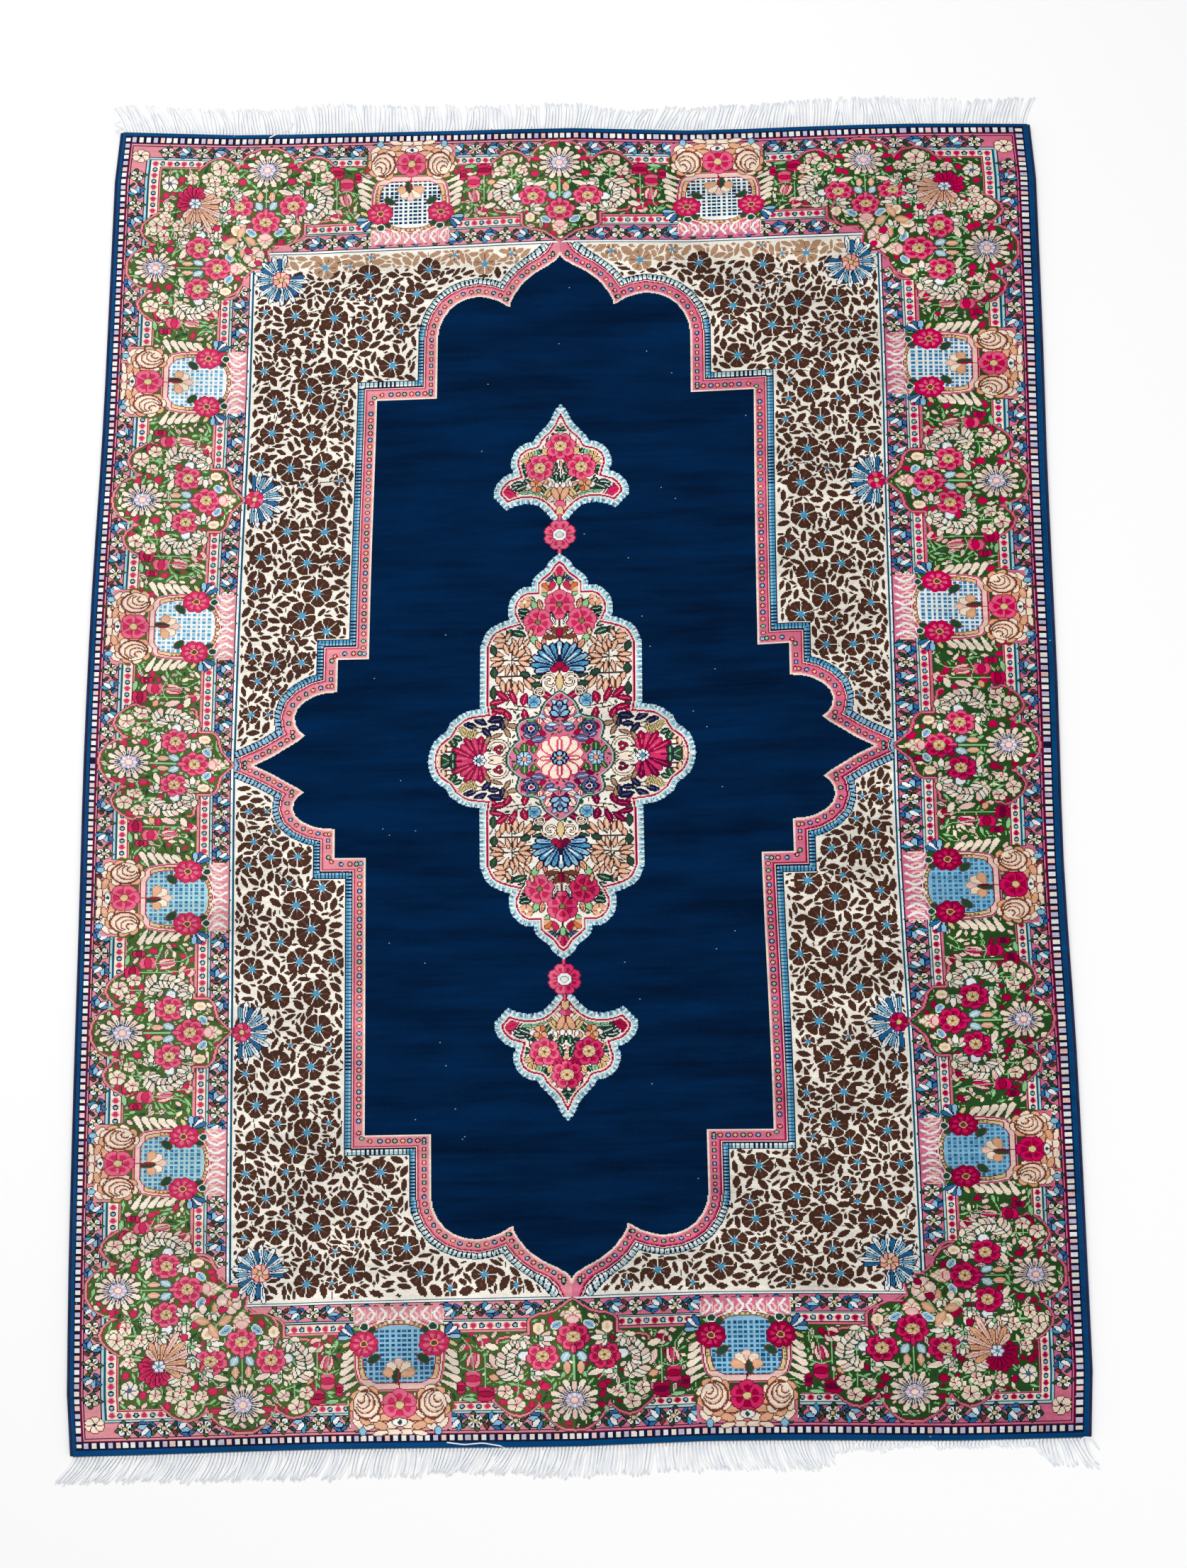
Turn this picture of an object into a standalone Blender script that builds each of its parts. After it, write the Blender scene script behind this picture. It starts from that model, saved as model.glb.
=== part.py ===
"""A hand-knotted wool rug lying flat on the floor, with a cotton fringe at both ends.

Metres, +Z up. X runs across the rug and Y along it, from the near end to the far end.
The origin is on the floor, under the middle of the whole outline, fringes included.
"""

import random

import bmesh
import bpy
from mathutils import Vector

MM = 0.001

# Driving dimensions
RUG_WIDTH = 1.45
RUG_LENGTH = 1.97
RUG_HEIGHT = 0.010
PILE_RIM_ROUND = 0.003
CORD_WIDTH = 0.005
CORD_HEIGHT = 0.0065
STRIP_DEPTH = 0.003
STRIP_HEIGHT = 0.0035
LOCKS_PER_FRINGE = 130
PART_GAP = 0.0003

# How finely the flat pieces are divided
RUG_STEPS_ACROSS = 16
RUG_STEPS_ALONG = 24
RIM_STEPS = 2

# The corners are drawn in a little by the side cords
CORNER_PULL = 0.006
CORNER_PULL_REACH = 0.070

# How far each edge strays from a true rectangle, in millimetres, at even stations.
# The sides are read from the near end to the far end, the ends from left to right,
# and plus is towards +X or +Y.
EDGE_STRAY_MM = {
    "left": (7, 1, -2, -3.5, -5.5, -3, 4, 7, 9),
    "right": (0, 0.5, 0, -5, -1, -0.5, 1.5, 3.5, 5),
    "near": (-11, -7, -3, -2, -1, 5, 5, 3.5, 7),
    "far": (3.5, -3.5, -2, 0.5, 3, -3, 1.5, 5, 2.5),
}

# The fringes: place across the rug and reach from its edge in millimetres, and the
# lean of the locks there, as sideways travel over reach, plus towards +X.
FRINGE_COLUMNS = ("place", "reach", "lean")
FRINGE_ROWS = {
    "far": (
        (-725, 43, -0.20),
        (-680, 55, -0.45),
        (-600, 53, -0.40),
        (-500, 50, -0.12),
        (-360, 57, -0.10),
        (-200, 51, 0.00),
        (-120, 46, 0.00),
        (0, 50, 0.05),
        (80, 39, 0.30),
        (130, 45, 0.45),
        (240, 48, 0.35),
        (360, 51, 0.10),
        (440, 53, 0.05),
        (530, 52, -0.18),
        (610, 48, 0.22),
        (725, 51, 0.30),
    ),
    "near": (
        (-725, 43, -0.70),
        (-640, 42, -0.65),
        (-500, 45, -0.40),
        (-280, 45, -0.30),
        (-220, 43, -0.12),
        (-150, 39, -0.60),
        (-60, 44, -0.45),
        (0, 48, -0.25),
        (110, 46, 0.00),
        (200, 44, 0.25),
        (300, 45, 0.38),
        (338, 44, 0.32),
        (354, 22, 0.12),
        (400, 21, 0.00),
        (480, 15, 0.00),
        (560, 15, 0.00),
        (636, 17, 0.05),
        (652, 42, 0.25),
        (725, 46, 0.60),
    ),
}

# One lock from root to tip: distance out from the strip, or share of what is left
# after the knot, with the width as a share of the spacing and the height in metres.
KNOT_OUT = 0.0025
NECK_OUT = 0.006
ROOT_WIDTH, ROOT_HEIGHT = 0.62, STRIP_HEIGHT
KNOT_WIDTH, KNOT_HEIGHT = 0.84, 0.0050
NECK_WIDTH, NECK_HEIGHT = 0.56, 0.0032
MIDDLE_WIDTH, MIDDLE_HEIGHT = 0.64, 0.0030
TIP_WIDTH, TIP_HEIGHT = 0.42, 0.0018
MIDDLE_SHARE = 0.5
LOCK_TOP_SHARE = 0.6
LEAN_CURVE = 1.5
REACH_JITTER = 0.0015
LEAN_JITTER = 0.02
FRINGE_SEED = {"far": 11, "near": 23}

# The side cord's section: share of its width from the rug outwards, share of its height
CORD_SECTION = (
    (0.0, 0.25),
    (0.2, 0.0),
    (0.8, 0.0),
    (1.0, 0.3),
    (1.0, 0.65),
    (0.75, 1.0),
    (0.25, 1.0),
    (0.0, 0.7),
)

# Colours, as linear values
NAVY_WOOL = (0.008, 0.028, 0.110, 1.0)
WHITE_COTTON = (0.78, 0.82, 0.86, 1.0)


def smooth_read(values, fraction):
    """Reads a row of evenly spaced values at a fraction of its length, on a smooth curve."""
    place = min(max(fraction, 0.0), 1.0) * (len(values) - 1)
    index = min(int(place), len(values) - 2)
    part = place - index
    before = values[max(index - 1, 0)]
    start, end = values[index], values[index + 1]
    after = values[min(index + 2, len(values) - 1)]
    return 0.5 * (
        2 * start
        + (end - before) * part
        + (2 * before - 5 * start + 4 * end - after) * part**2
        + (3 * start - before - 3 * end + after) * part**3
    )


def corner_pull(fraction):
    """How far a side is drawn in near its two ends."""
    to_corner = min(fraction, 1.0 - fraction) * RUG_LENGTH
    return CORNER_PULL * max(0.0, 1.0 - to_corner / CORNER_PULL_REACH) ** 2


def edge_at_station(edge, fraction):
    """The X of a side, or the Y of an end, on the smooth curve."""
    stray = smooth_read(EDGE_STRAY_MM[edge], fraction) * MM
    if edge == "left":
        return -RUG_WIDTH / 2 + stray + corner_pull(fraction)
    if edge == "right":
        return RUG_WIDTH / 2 + stray - corner_pull(fraction)
    if edge == "near":
        return -RUG_LENGTH / 2 + stray
    return RUG_LENGTH / 2 + stray


def edge_at(edge, fraction):
    """The same, on the straight steps that the rug's own outline has."""
    steps = RUG_STEPS_ALONG if edge in ("left", "right") else RUG_STEPS_ACROSS
    place = min(max(fraction, 0.0), 1.0) * steps
    index = min(int(place), steps - 1)
    start = edge_at_station(edge, index / steps)
    end = edge_at_station(edge, (index + 1) / steps)
    return start + (end - start) * (place - index)


def side_of_pile(edge, fraction):
    """The X where the pile ends and leaves room for its side cord."""
    inset = CORD_WIDTH + PART_GAP
    return edge_at(edge, fraction) + (inset if edge == "left" else -inset)


def blend(start, end, share):
    return start + (end - start) * share


def read_fringe(rows, place_mm):
    """Reach in metres and lean, read between the rows of a fringe table."""
    place, reach, lean = (FRINGE_COLUMNS.index(name) for name in ("place", "reach", "lean"))
    for before, after in zip(rows, rows[1:]):
        if place_mm <= after[place]:
            share = max((place_mm - before[place]) / (after[place] - before[place]), 0.0)
            return blend(before[reach], after[reach], share) * MM, blend(before[lean], after[lean], share)
    return rows[-1][reach] * MM, rows[-1][lean]


def make_material(name, colour, roughness):
    material = bpy.data.materials.new(name)
    material.use_nodes = True
    shader = material.node_tree.nodes["Principled BSDF"]
    shader.inputs["Base Color"].default_value = colour
    shader.inputs["Roughness"].default_value = roughness
    shader.inputs["Metallic"].default_value = 0.0
    return material


def make_object(name, mesh_builder, material):
    """Turns a filled bmesh into a named object with its faces pointing out."""
    bmesh.ops.recalc_face_normals(mesh_builder, faces=mesh_builder.faces[:])
    mesh = bpy.data.meshes.new(name)
    mesh_builder.to_mesh(mesh)
    mesh_builder.free()
    mesh.materials.append(material)
    thing = bpy.data.objects.new(name, mesh)
    bpy.context.scene.collection.objects.link(thing)
    return thing


def make_rug(material):
    """The pile carpet itself: one flat slab with its own uneven outline."""
    slab = bmesh.new()
    bmesh.ops.create_grid(slab, x_segments=RUG_STEPS_ACROSS, y_segments=RUG_STEPS_ALONG, size=0.5)
    for point in slab.verts:
        across, along = point.co.x + 0.5, point.co.y + 0.5
        x = blend(side_of_pile("left", along), side_of_pile("right", along), across)
        y = blend(edge_at("near", across), edge_at("far", across), along)
        point.co = Vector((x, y, 0.0))
    raised = bmesh.ops.extrude_face_region(slab, geom=slab.faces[:], use_keep_orig=True)
    top_points = [item for item in raised["geom"] if isinstance(item, bmesh.types.BMVert)]
    bmesh.ops.translate(slab, verts=top_points, vec=(0.0, 0.0, RUG_HEIGHT))
    bmesh.ops.recalc_face_normals(slab, faces=slab.faces[:])
    rim = [edge for edge in slab.edges if is_top_rim(edge)]
    bmesh.ops.bevel(slab, geom=rim, offset=PILE_RIM_ROUND, segments=RIM_STEPS, affect="EDGES")
    return make_object("rug", slab, material)


def is_top_rim(edge):
    """True for an edge between the upper face and a side wall."""
    at_top = all(point.co.z > RUG_HEIGHT / 2 for point in edge.verts)
    return at_top and any(abs(face.normal.z) < 0.5 for face in edge.link_faces)


def close_rings(builder, rings):
    """Joins rings of points into a closed skin, with a face on each end."""
    for ring, following in zip(rings, rings[1:]):
        for index, point in enumerate(ring):
            beside = (index + 1) % len(ring)
            builder.faces.new((point, ring[beside], following[beside], following[index]))
    builder.faces.new(list(reversed(rings[0])))
    builder.faces.new(rings[-1])


def make_side_cord(edge, material):
    """The overcast cord along one long side, flat under its belly."""
    outwards = -1.0 if edge == "left" else 1.0
    builder = bmesh.new()
    rings = []
    for step in range(RUG_STEPS_ALONG + 1):
        along = step / RUG_STEPS_ALONG
        inner_x = edge_at(edge, along) - outwards * CORD_WIDTH
        end_across = 0.0 if edge == "left" else 1.0
        y = blend(edge_at("near", end_across), edge_at("far", end_across), along)
        ring = []
        for share_out, share_up in CORD_SECTION:
            x = inner_x + outwards * share_out * CORD_WIDTH
            ring.append(builder.verts.new((x, y, share_up * CORD_HEIGHT)))
        rings.append(ring)
    close_rings(builder, rings)
    return make_object(f"side_cord_{edge}", builder, material)


def lock_stations(reach, spacing):
    """Distance out, width and height at each ring of one lock, from its root to its tip."""
    out_of_strip = reach - STRIP_DEPTH - PART_GAP
    middle_out = blend(NECK_OUT, out_of_strip, MIDDLE_SHARE)
    return (
        (0.0, ROOT_WIDTH * spacing, ROOT_HEIGHT),
        (KNOT_OUT, KNOT_WIDTH * spacing, KNOT_HEIGHT),
        (NECK_OUT, NECK_WIDTH * spacing, NECK_HEIGHT),
        (middle_out, MIDDLE_WIDTH * spacing, MIDDLE_HEIGHT),
        (out_of_strip, TIP_WIDTH * spacing, TIP_HEIGHT),
    )


def make_fringe(end, material):
    """One fringe: a narrow strip beside the rug's edge, with locks that lie on the floor."""
    outwards = 1.0 if end == "far" else -1.0
    along = 1.0 if end == "far" else 0.0
    left_x, right_x = side_of_pile("left", along), side_of_pile("right", along)
    spacing = (right_x - left_x) / LOCKS_PER_FRINGE
    jitter = random.Random(FRINGE_SEED[end])
    builder = bmesh.new()

    def strip_posts(x):
        """The four points of the strip at one place across: inner low and high, outer low and high."""
        inner_y = edge_at(end, (x - left_x) / (right_x - left_x)) + outwards * PART_GAP
        outer_y = inner_y + outwards * STRIP_DEPTH
        return [
            builder.verts.new((x, inner_y, 0.0)),
            builder.verts.new((x, inner_y, STRIP_HEIGHT)),
            builder.verts.new((x, outer_y, 0.0)),
            builder.verts.new((x, outer_y, STRIP_HEIGHT)),
        ]

    def strip_skin(first, second, closed_outside):
        """The strip's walls between two posts; a root leaves the outer wall to its lock."""
        builder.faces.new((first[0], second[0], second[1], first[1]))
        builder.faces.new((first[1], second[1], second[3], first[3]))
        builder.faces.new((first[2], second[2], second[0], first[0]))
        if closed_outside:
            builder.faces.new((first[3], second[3], second[2], first[2]))

    previous = strip_posts(left_x)
    builder.faces.new((previous[0], previous[1], previous[3], previous[2]))
    for number in range(LOCKS_PER_FRINGE):
        centre = left_x + (number + 0.5) * spacing
        reach, lean = read_fringe(FRINGE_ROWS[end], centre / MM)
        reach += jitter.uniform(-REACH_JITTER, REACH_JITTER)
        lean += jitter.uniform(-LEAN_JITTER, LEAN_JITTER)
        stations = lock_stations(reach, spacing)
        root_half = stations[0][1] / 2
        left_post = strip_posts(centre - root_half)
        right_post = strip_posts(centre + root_half)
        strip_skin(previous, left_post, closed_outside=True)
        strip_skin(left_post, right_post, closed_outside=False)
        root_y = (left_post[2].co.y + right_post[2].co.y) / 2
        ring = [left_post[2], right_post[2], right_post[3], left_post[3]]
        for out, width, height in stations[1:]:
            curve = (out / stations[-1][0]) ** LEAN_CURVE
            x = centre + lean * stations[-1][0] * curve
            y = root_y + outwards * out
            top_half = width / 2 * LOCK_TOP_SHARE
            following = [
                builder.verts.new((x - width / 2, y, 0.0)),
                builder.verts.new((x + width / 2, y, 0.0)),
                builder.verts.new((x + top_half, y, height)),
                builder.verts.new((x - top_half, y, height)),
            ]
            for index in range(4):
                beside = (index + 1) % 4
                builder.faces.new((ring[index], ring[beside], following[beside], following[index]))
            ring = following
        builder.faces.new(ring)
        previous = right_post
    last = strip_posts(right_x)
    strip_skin(previous, last, closed_outside=True)
    builder.faces.new((last[0], last[1], last[3], last[2]))
    return make_object(f"fringe_{end}", builder, material)


def centre_on_floor(things):
    """Moves all pieces together, so that the origin is under the middle of their outline."""
    corners = [thing.matrix_world @ Vector(corner) for thing in things for corner in thing.bound_box]
    middle_x = (min(corner.x for corner in corners) + max(corner.x for corner in corners)) / 2
    middle_y = (min(corner.y for corner in corners) + max(corner.y for corner in corners)) / 2
    for thing in things:
        thing.location.x -= middle_x
        thing.location.y -= middle_y


def main():
    for thing in list(bpy.data.objects):
        bpy.data.objects.remove(thing, do_unlink=True)
    pile_wool = make_material("pile_wool", NAVY_WOOL, 0.9)
    cord_wool = make_material("cord_wool", NAVY_WOOL, 0.85)
    cotton = make_material("fringe_cotton", WHITE_COTTON, 0.85)
    things = [make_rug(pile_wool)]
    things += [make_side_cord(edge, cord_wool) for edge in ("left", "right")]
    things += [make_fringe(end, cotton) for end in ("near", "far")]
    bpy.context.view_layer.update()
    centre_on_floor(things)


main()
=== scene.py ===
"""A knotted wool rug with a flowered design and cotton fringes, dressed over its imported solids.

The design is charted knot by knot, as a weaver would, a quarter of the rug at a time, and stretched
between guide lines, because the weaving is a little uneven. Measures of the chart, the pile, the
cords and the fringes are in millimetres. The camera, the lights and the floor are in metres.
"""

import math
import random

import bpy
import numpy as np
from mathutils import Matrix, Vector


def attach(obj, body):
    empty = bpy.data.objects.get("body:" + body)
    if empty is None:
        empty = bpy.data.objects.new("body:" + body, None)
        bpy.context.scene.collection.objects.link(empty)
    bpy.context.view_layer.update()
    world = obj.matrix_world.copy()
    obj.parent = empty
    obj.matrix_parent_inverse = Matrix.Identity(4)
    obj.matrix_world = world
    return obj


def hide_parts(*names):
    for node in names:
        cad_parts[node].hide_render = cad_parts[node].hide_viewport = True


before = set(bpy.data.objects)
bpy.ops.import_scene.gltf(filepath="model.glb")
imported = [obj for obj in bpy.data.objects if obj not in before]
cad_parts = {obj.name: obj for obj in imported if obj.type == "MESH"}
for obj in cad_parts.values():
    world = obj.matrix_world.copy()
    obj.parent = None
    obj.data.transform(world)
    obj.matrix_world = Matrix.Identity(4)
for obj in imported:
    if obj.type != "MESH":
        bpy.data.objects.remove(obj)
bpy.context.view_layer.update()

MM = 0.001

# Colours of the wool, as seen in plain light (sRGB, 0 to 255)
WOOLS = (
    ("navy", (0, 32, 68)),
    ("ink", (26, 26, 56)),
    ("crimson", (166, 30, 66)),
    ("rose", (208, 52, 96)),
    ("pink", (228, 110, 140)),
    ("salmon", (226, 146, 156)),
    ("blush", (244, 206, 196)),
    ("cream", (250, 232, 212)),
    ("ivory", (246, 240, 228)),
    ("peach", (232, 178, 144)),
    ("tan", (178, 142, 114)),
    ("umber", (120, 66, 48)),
    ("brown", (74, 48, 38)),
    ("green", (78, 104, 48)),
    ("leaf", (40, 74, 54)),
    ("olive", (134, 124, 76)),
    ("sky", (150, 196, 222)),
    ("blue", (60, 112, 164)),
    ("teal", (24, 88, 116)),
    ("lilac", (202, 196, 218)),
    ("white", (242, 246, 244)),
    ("sand", (226, 202, 150)),
    ("orange", (222, 122, 74)),
    ("mist", (176, 212, 214)),
    ("slate", (92, 100, 142)),
    ("plum", (104, 18, 56)),
    ("azure", (84, 158, 196)),
    ("mint", (152, 204, 150)),
    ("edge", (6, 74, 128)),
    ("cerise", (212, 62, 108)),
    ("moss", (46, 80, 34)),
    ("coral", (216, 122, 148)),
)
WOOL = {name: index for index, (name, _) in enumerate(WOOLS)}

# Each quarter of the rug was knotted from other dye lots: which wools stand in for which,
# the ground and squares of its lattices beside the field and at the rug's end, and its seed
QUARTERS = {
    "far_left": ({}, ("white", "azure", "sky"), ("white", "navy", "teal"), 1),
    "far_right": (
        {"green": "moss", "salmon": "coral"}, ("white", "blue", "azure"), ("white", "navy", "teal"), 2,
    ),
    "near_left": ({}, ("mist", "blue", "azure"), ("sky", "teal", "blue"), 3),
    "near_right": (
        {"pink": "cerise", "rose": "crimson", "crimson": "plum", "green": "moss", "salmon": "coral"},
        ("sky", "blue", "azure"), ("sky", "teal", "blue"), 4,
    ),
}

# A knot is wider across the rug than along it
HALF_COLUMNS, HALF_ROWS = 440, 774
U_MIDDLE, U_EDGE = 19.0, 720.0
V_MIDDLE, V_EDGE = -16.0, 985.0

# The bands of the border, from the rug's edge inwards: how far in each starts on the
# sides (u) and on the ends (v), and its wool
BANDS = (
    (720.0, 985.0, "edge"),
    (715.5, 978.0, "ink"),
    (705.0, 967.4, "plum"),
    (703.0, 965.7, "salmon"),
    (700.5, 963.2, "ink"),
    (699.0, 961.8, "salmon"),
    (676.5, 944.0, "ink"),
    (675.0, 942.8, "mist"),
    (671.5, 940.2, "teal"),
    (668.5, 938.0, "cream"),
    (655.0, 928.0, "crimson"),
    (653.5, 926.7, "salmon"),
    (651.0, 925.0, "green"),
    (552.5, 830.5, "salmon"),
    (550.0, 829.0, "crimson"),
    (548.5, 827.7, "cream"),
    (535.5, 817.5, "ink"),
    (534.0, 816.2, "mist"),
    (531.0, 814.0, "ink"),
    (529.0, 812.7, "salmon"),
    (504.5, 789.5, "ink"),
    (503.0, 788.2, "white"),
    (499.5, 785.5, "teal"),
    (497.0, 784.0, "ivory"),
)

FIELD = (
    (19, 770), (25, 762), (40, 752), (58, 742), (72, 731), (82, 720), (91, 706), (96, 696), (98, 687),
    (103, 689), (114, 697), (130, 703), (146, 706), (165, 703), (180, 696), (192, 686), (202, 671),
    (208, 655), (210, 640), (210, 541), (302, 541), (302, 139), (349, 139), (349, 91), (366, 90),
    (382, 86), (397, 78), (407, 68), (411, 56), (409, 44), (403, 35), (395, 28), (409, 18), (424, 9),
    (440, -1), (455, -9), (470, -16),
)
MEDALLION = (
    (19, 293), (34, 281), (41, 270), (51, 262), (58, 255), (61, 249), (61, 243), (71, 243), (81, 238),
    (89, 230), (94, 221), (96, 211), (96, 201), (93, 194), (101, 192), (111, 188), (121, 183),
    (129, 174), (133, 165), (137, 155), (137, 66), (136, 61), (145, 60), (156, 58), (166, 53),
    (173, 47), (180, 42), (183, 35), (187, 28), (196, 22), (204, 14), (209, 4), (212, -6), (213, -16),
)
PENDANT = (
    (19, 526), (27, 517), (32, 508), (36, 498), (42, 490), (50, 483), (57, 475), (60, 468), (71, 466),
    (81, 461), (89, 453), (93, 443), (95, 432), (92, 424), (91, 420), (101, 417), (109, 410),
    (116, 402), (120, 392), (119, 382), (111, 373), (105, 366), (100, 361), (95, 364), (85, 368),
    (75, 370), (65, 370), (55, 368), (47, 363), (40, 356), (35, 350), (31, 344), (27, 340), (19, 339),
)

# Brown flowers of the ivory ground: place and radius
BROWN_FLOWERS = (
    (372, 388, 22), (432, 340, 20), (375, 337, 21), (400, 290, 20), (350, 290, 18), (428, 261, 17),
    (383, 243, 23), (405, 208, 22), (367, 183, 21), (417, 176, 12), (443, 136, 18), (403, 136, 17),
    (318, 776, 9), (185, 775, 10), (95, 774, 9), (387, 761, 19), (350, 762, 10), (225, 754, 19),
    (138, 760, 18), (320, 745, 20), (378, 724, 14), (275, 720, 13), (244, 714, 19), (345, 715, 10),
    (315, 708, 9), (432, 683, 19), (372, 678, 22), (326, 677, 13), (274, 680, 20), (415, 653, 12),
    (332, 644, 20), (366, 640, 13), (267, 653, 13), (447, 632, 16), (403, 626, 13), (280, 598, 21),
    (417, 593, 14), (370, 590, 21), (337, 584, 14), (407, 563, 20), (356, 553, 10), (387, 535, 20),
    (430, 522, 13), (355, 523, 12), (402, 490, 18), (350, 490, 13), (432, 438, 21), (382, 442, 20),
    (355, 417, 10), (412, 410, 9), (477, 595, 17), (460, 545, 18), (462, 495, 19), (478, 450, 16),
    (470, 200, 15), (476, 250, 16), (470, 300, 18), (476, 148, 14), (440, 93, 12), (468, 110, 15),
    (476, 60, 14), (450, 60, 9), (470, 650, 15), (478, 690, 12),
)

# How a motif's own measures stretch: across it, below its middle and above its middle
ALONG_SIDE = (0.9, 1.115, 1.115)
SMALL_ALONG_END = (1.115, 0.9, 0.9)
UNIT_ALONG_END = (1.115, 1.0, 0.9)
CARTOUCHE_ALONG_END = (1.115, 0.97, 1.045)

SQUARE_WOOLS = ("ivory", "lilac", "ivory", "white", "lilac", "blush", "white")
FAR_AWAY = 1e9

# The bands around the field, outermost first: how far out each reaches, and its wool
FIELD_BANDS = (
    (31.0, "ink"), (29.6, "white"), (21.8, "ink"), (20.2, "blush"), (18.8, "crimson"),
    (17.0, "pink"), (15.4, "salmon"), (3.4, "blush"), (1.6, "cream"),
)
# From one dot of the pink band to the next, and the width of a scallop of the pale rims
DOT_PITCH = 10.4
SCALLOP = 7.6

# Where the main border's units stand, which way up they are and how they stretch
UNIT_PLACES = (
    (19, 927, True, UNIT_ALONG_END),
    (482, 924, True, UNIT_ALONG_END),
    (653, 763, False, ALONG_SIDE),
    (655, 390, False, ALONG_SIDE),
    (655, -16, False, ALONG_SIDE),
)
# One flowering unit in its own measure: a along the border, b outwards
UNIT_OUTER = (
    (-98, -8), (-95, 0), (-90, 6), (-84, 13), (-76, 18), (-66, 20), (-56, 16), (-48, 9), (-43, -3),
    (-41, 3), (-37, 14), (-30, 25), (-22, 32), (-12, 37), (0, 38),
)
UNIT_INNER = (
    (52, -90), (52, -107), (50, -112), (42, -116), (32, -117), (22, -120), (11, -128), (0, -137),
)
UNIT_STEMS = (
    ((0, -28), (0, -62)), ((30, -28), (50, -52), (72, -62)), ((69, 4), (68, -34)),
    ((46, -16), (70, -24)), ((24, -44), (46, -28)), ((52, -66), (60, -92)),
)
# The small leaves between a unit's flowers: fill, line, vein and how slim
GREEN_LEAVES = (
    ("cream", None, None, 0.5), ("blush", "leaf", None, 0.5), ("mint", None, None, 0.3),
    ("mint", None, None, 0.35), ("rose", "crimson", None, 0.6), ("blush", None, "slate", 0.5),
    ("leaf", None, None, 0.4),
)

# The cartouche between the units, in the same measure: right halves of its outlines
CARTOUCHE_COVER = [(56, 80), (64, 66), (66, 40), (56, 24), (58, -20), (60, -52), (56, -60)]
WINDOW_HALF = [
    (26, 21), (33, 18), (40, 12), (43, 0), (44, -14), (43, -28), (39, -42), (31, -52), (18, -58),
    (0, -60),
]
# Scrolls over the window: place, half sizes and turn
OUTER_SCROLLS = (
    (10, 75, 11, 4.5, 20), (25, 75, 10, 4, -15), (40, 77, 8, 3.5, 10), (17, 66, 12, 4, 10),
    (32, 68, 9, 3.5, 40), (52, 73, 8, 4, -40), (8, 83, 9, 3.5, 0), (24, 84, 9, 3, 10),
)
PANEL_SCROLL = (
    (((10, -63), (3, -68), (0, -75), (6, -83)), "white", 3.4),
    (((7, -66), (9, -72), (5, -77)), "blush", 2.8),
    (((12, -66), (12, -80)), "blush", 1.6),
)
# Buds beside the window: place, length, width, turn and wools
SIDE_TULIPS = (
    (14, 37, 20, 18, 0, "rose", "crimson", "plum"),
    (-1, 17, 18, 20, 0, "pink", "rose", "crimson"),
    (-16, 29, 9, 15, 0, "rose", "crimson", "plum"),
    (0, -8, 21, 14, 75, "blush", "pink", "crimson"),
    (13, -33, 14, 19, 20, "blush", "rose", "crimson"),
)
SIDE_STEMS = (
    ((-14, -40), (-4, -26), (0, 6)), ((8, -44), (13, -20), (14, 28)), ((-16, 2), (-1, 8), (12, 4)),
)

# The border's corner
CORNER_INNER = (
    (431, 829), (433, 815), (440, 806), (452, 801), (466, 801), (478, 801), (479, 788), (476, 775),
    (472, 762), (486, 762), (500, 762), (512, 768), (524, 766), (519, 755), (516, 745), (519, 735),
    (527, 724), (540, 720), (551, 719), (560, 719), (640, 800), (600, 910), (440, 850),
)
CORNER_STEMS = (
    ((560, 850), (640, 905)), ((600, 860), (640, 850)), ((600, 860), (590, 905)),
    ((500, 790), (520, 820)), ((575, 850), (545, 800)),
)
# Petals of the two corner fans: turn and reach
CORNER_PEACH_FAN = (
    (150, 34), (168, 44), (186, 40), (204, 50), (222, 46), (240, 52), (258, 42), (276, 46),
    (294, 34), (312, 28),
)
CORNER_ROSE_FAN = (
    (-28, 24), (-8, 28), (12, 26), (32, 31), (52, 27), (72, 30), (92, 26), (112, 27), (130, 22),
)
# Place and radius, then place and turn
CORNER_BLOSSOMS = (
    (558, 927, 13), (536, 911, 9), (565, 905, 9), (555, 890, 9), (600, 908, 9), (641, 845, 9),
    (655, 832, 12), (620, 831, 9), (642, 816, 9), (636, 862, 8),
)
CORNER_LILIES = (
    (548, 866, 0), (545, 845, 60), (560, 815, 0), (528, 880, 60), (590, 830, 40), (612, 805, 80),
    (520, 800, 20),
)
CORNER_LEAVES = ((520, 822, 120), (536, 808, 170), (505, 808, 40), (500, 780, 0), (515, 786, 60))

# Leaves of the medallion and pendant: fill, line and vein, then u, v, turn, length and width of each
TIP_LEAVES = (
    ("mint", "leaf", None, (
        (19, 251, 90, 12, 9), (43, 235, 60, 16, 11), (56, 213, 70, 16, 9), (57, 162, 60, 20, 9),
    )),
    ("slate", "ink", "navy", ((38, 256, 10, 17, 9), (30, 248, 60, 9, 6))),
)
ROSE_LEAVES = (
    ("peach", "umber", "rose", ((48, 215, 80, 14, 7), (50, 153, 60, 14, 8), (42, 158, 110, 12, 6))),
    ("leaf", "ink", "mint", (
        (72, 206, 10, 16, 6), (73, 199, 20, 16, 5), (75, 192, 5, 14, 5), (79, 183, 30, 13, 6),
        (80, 172, 20, 20, 9), (93, 175, 60, 12, 8), (31, 196, 80, 12, 7),
    )),
)
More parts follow.
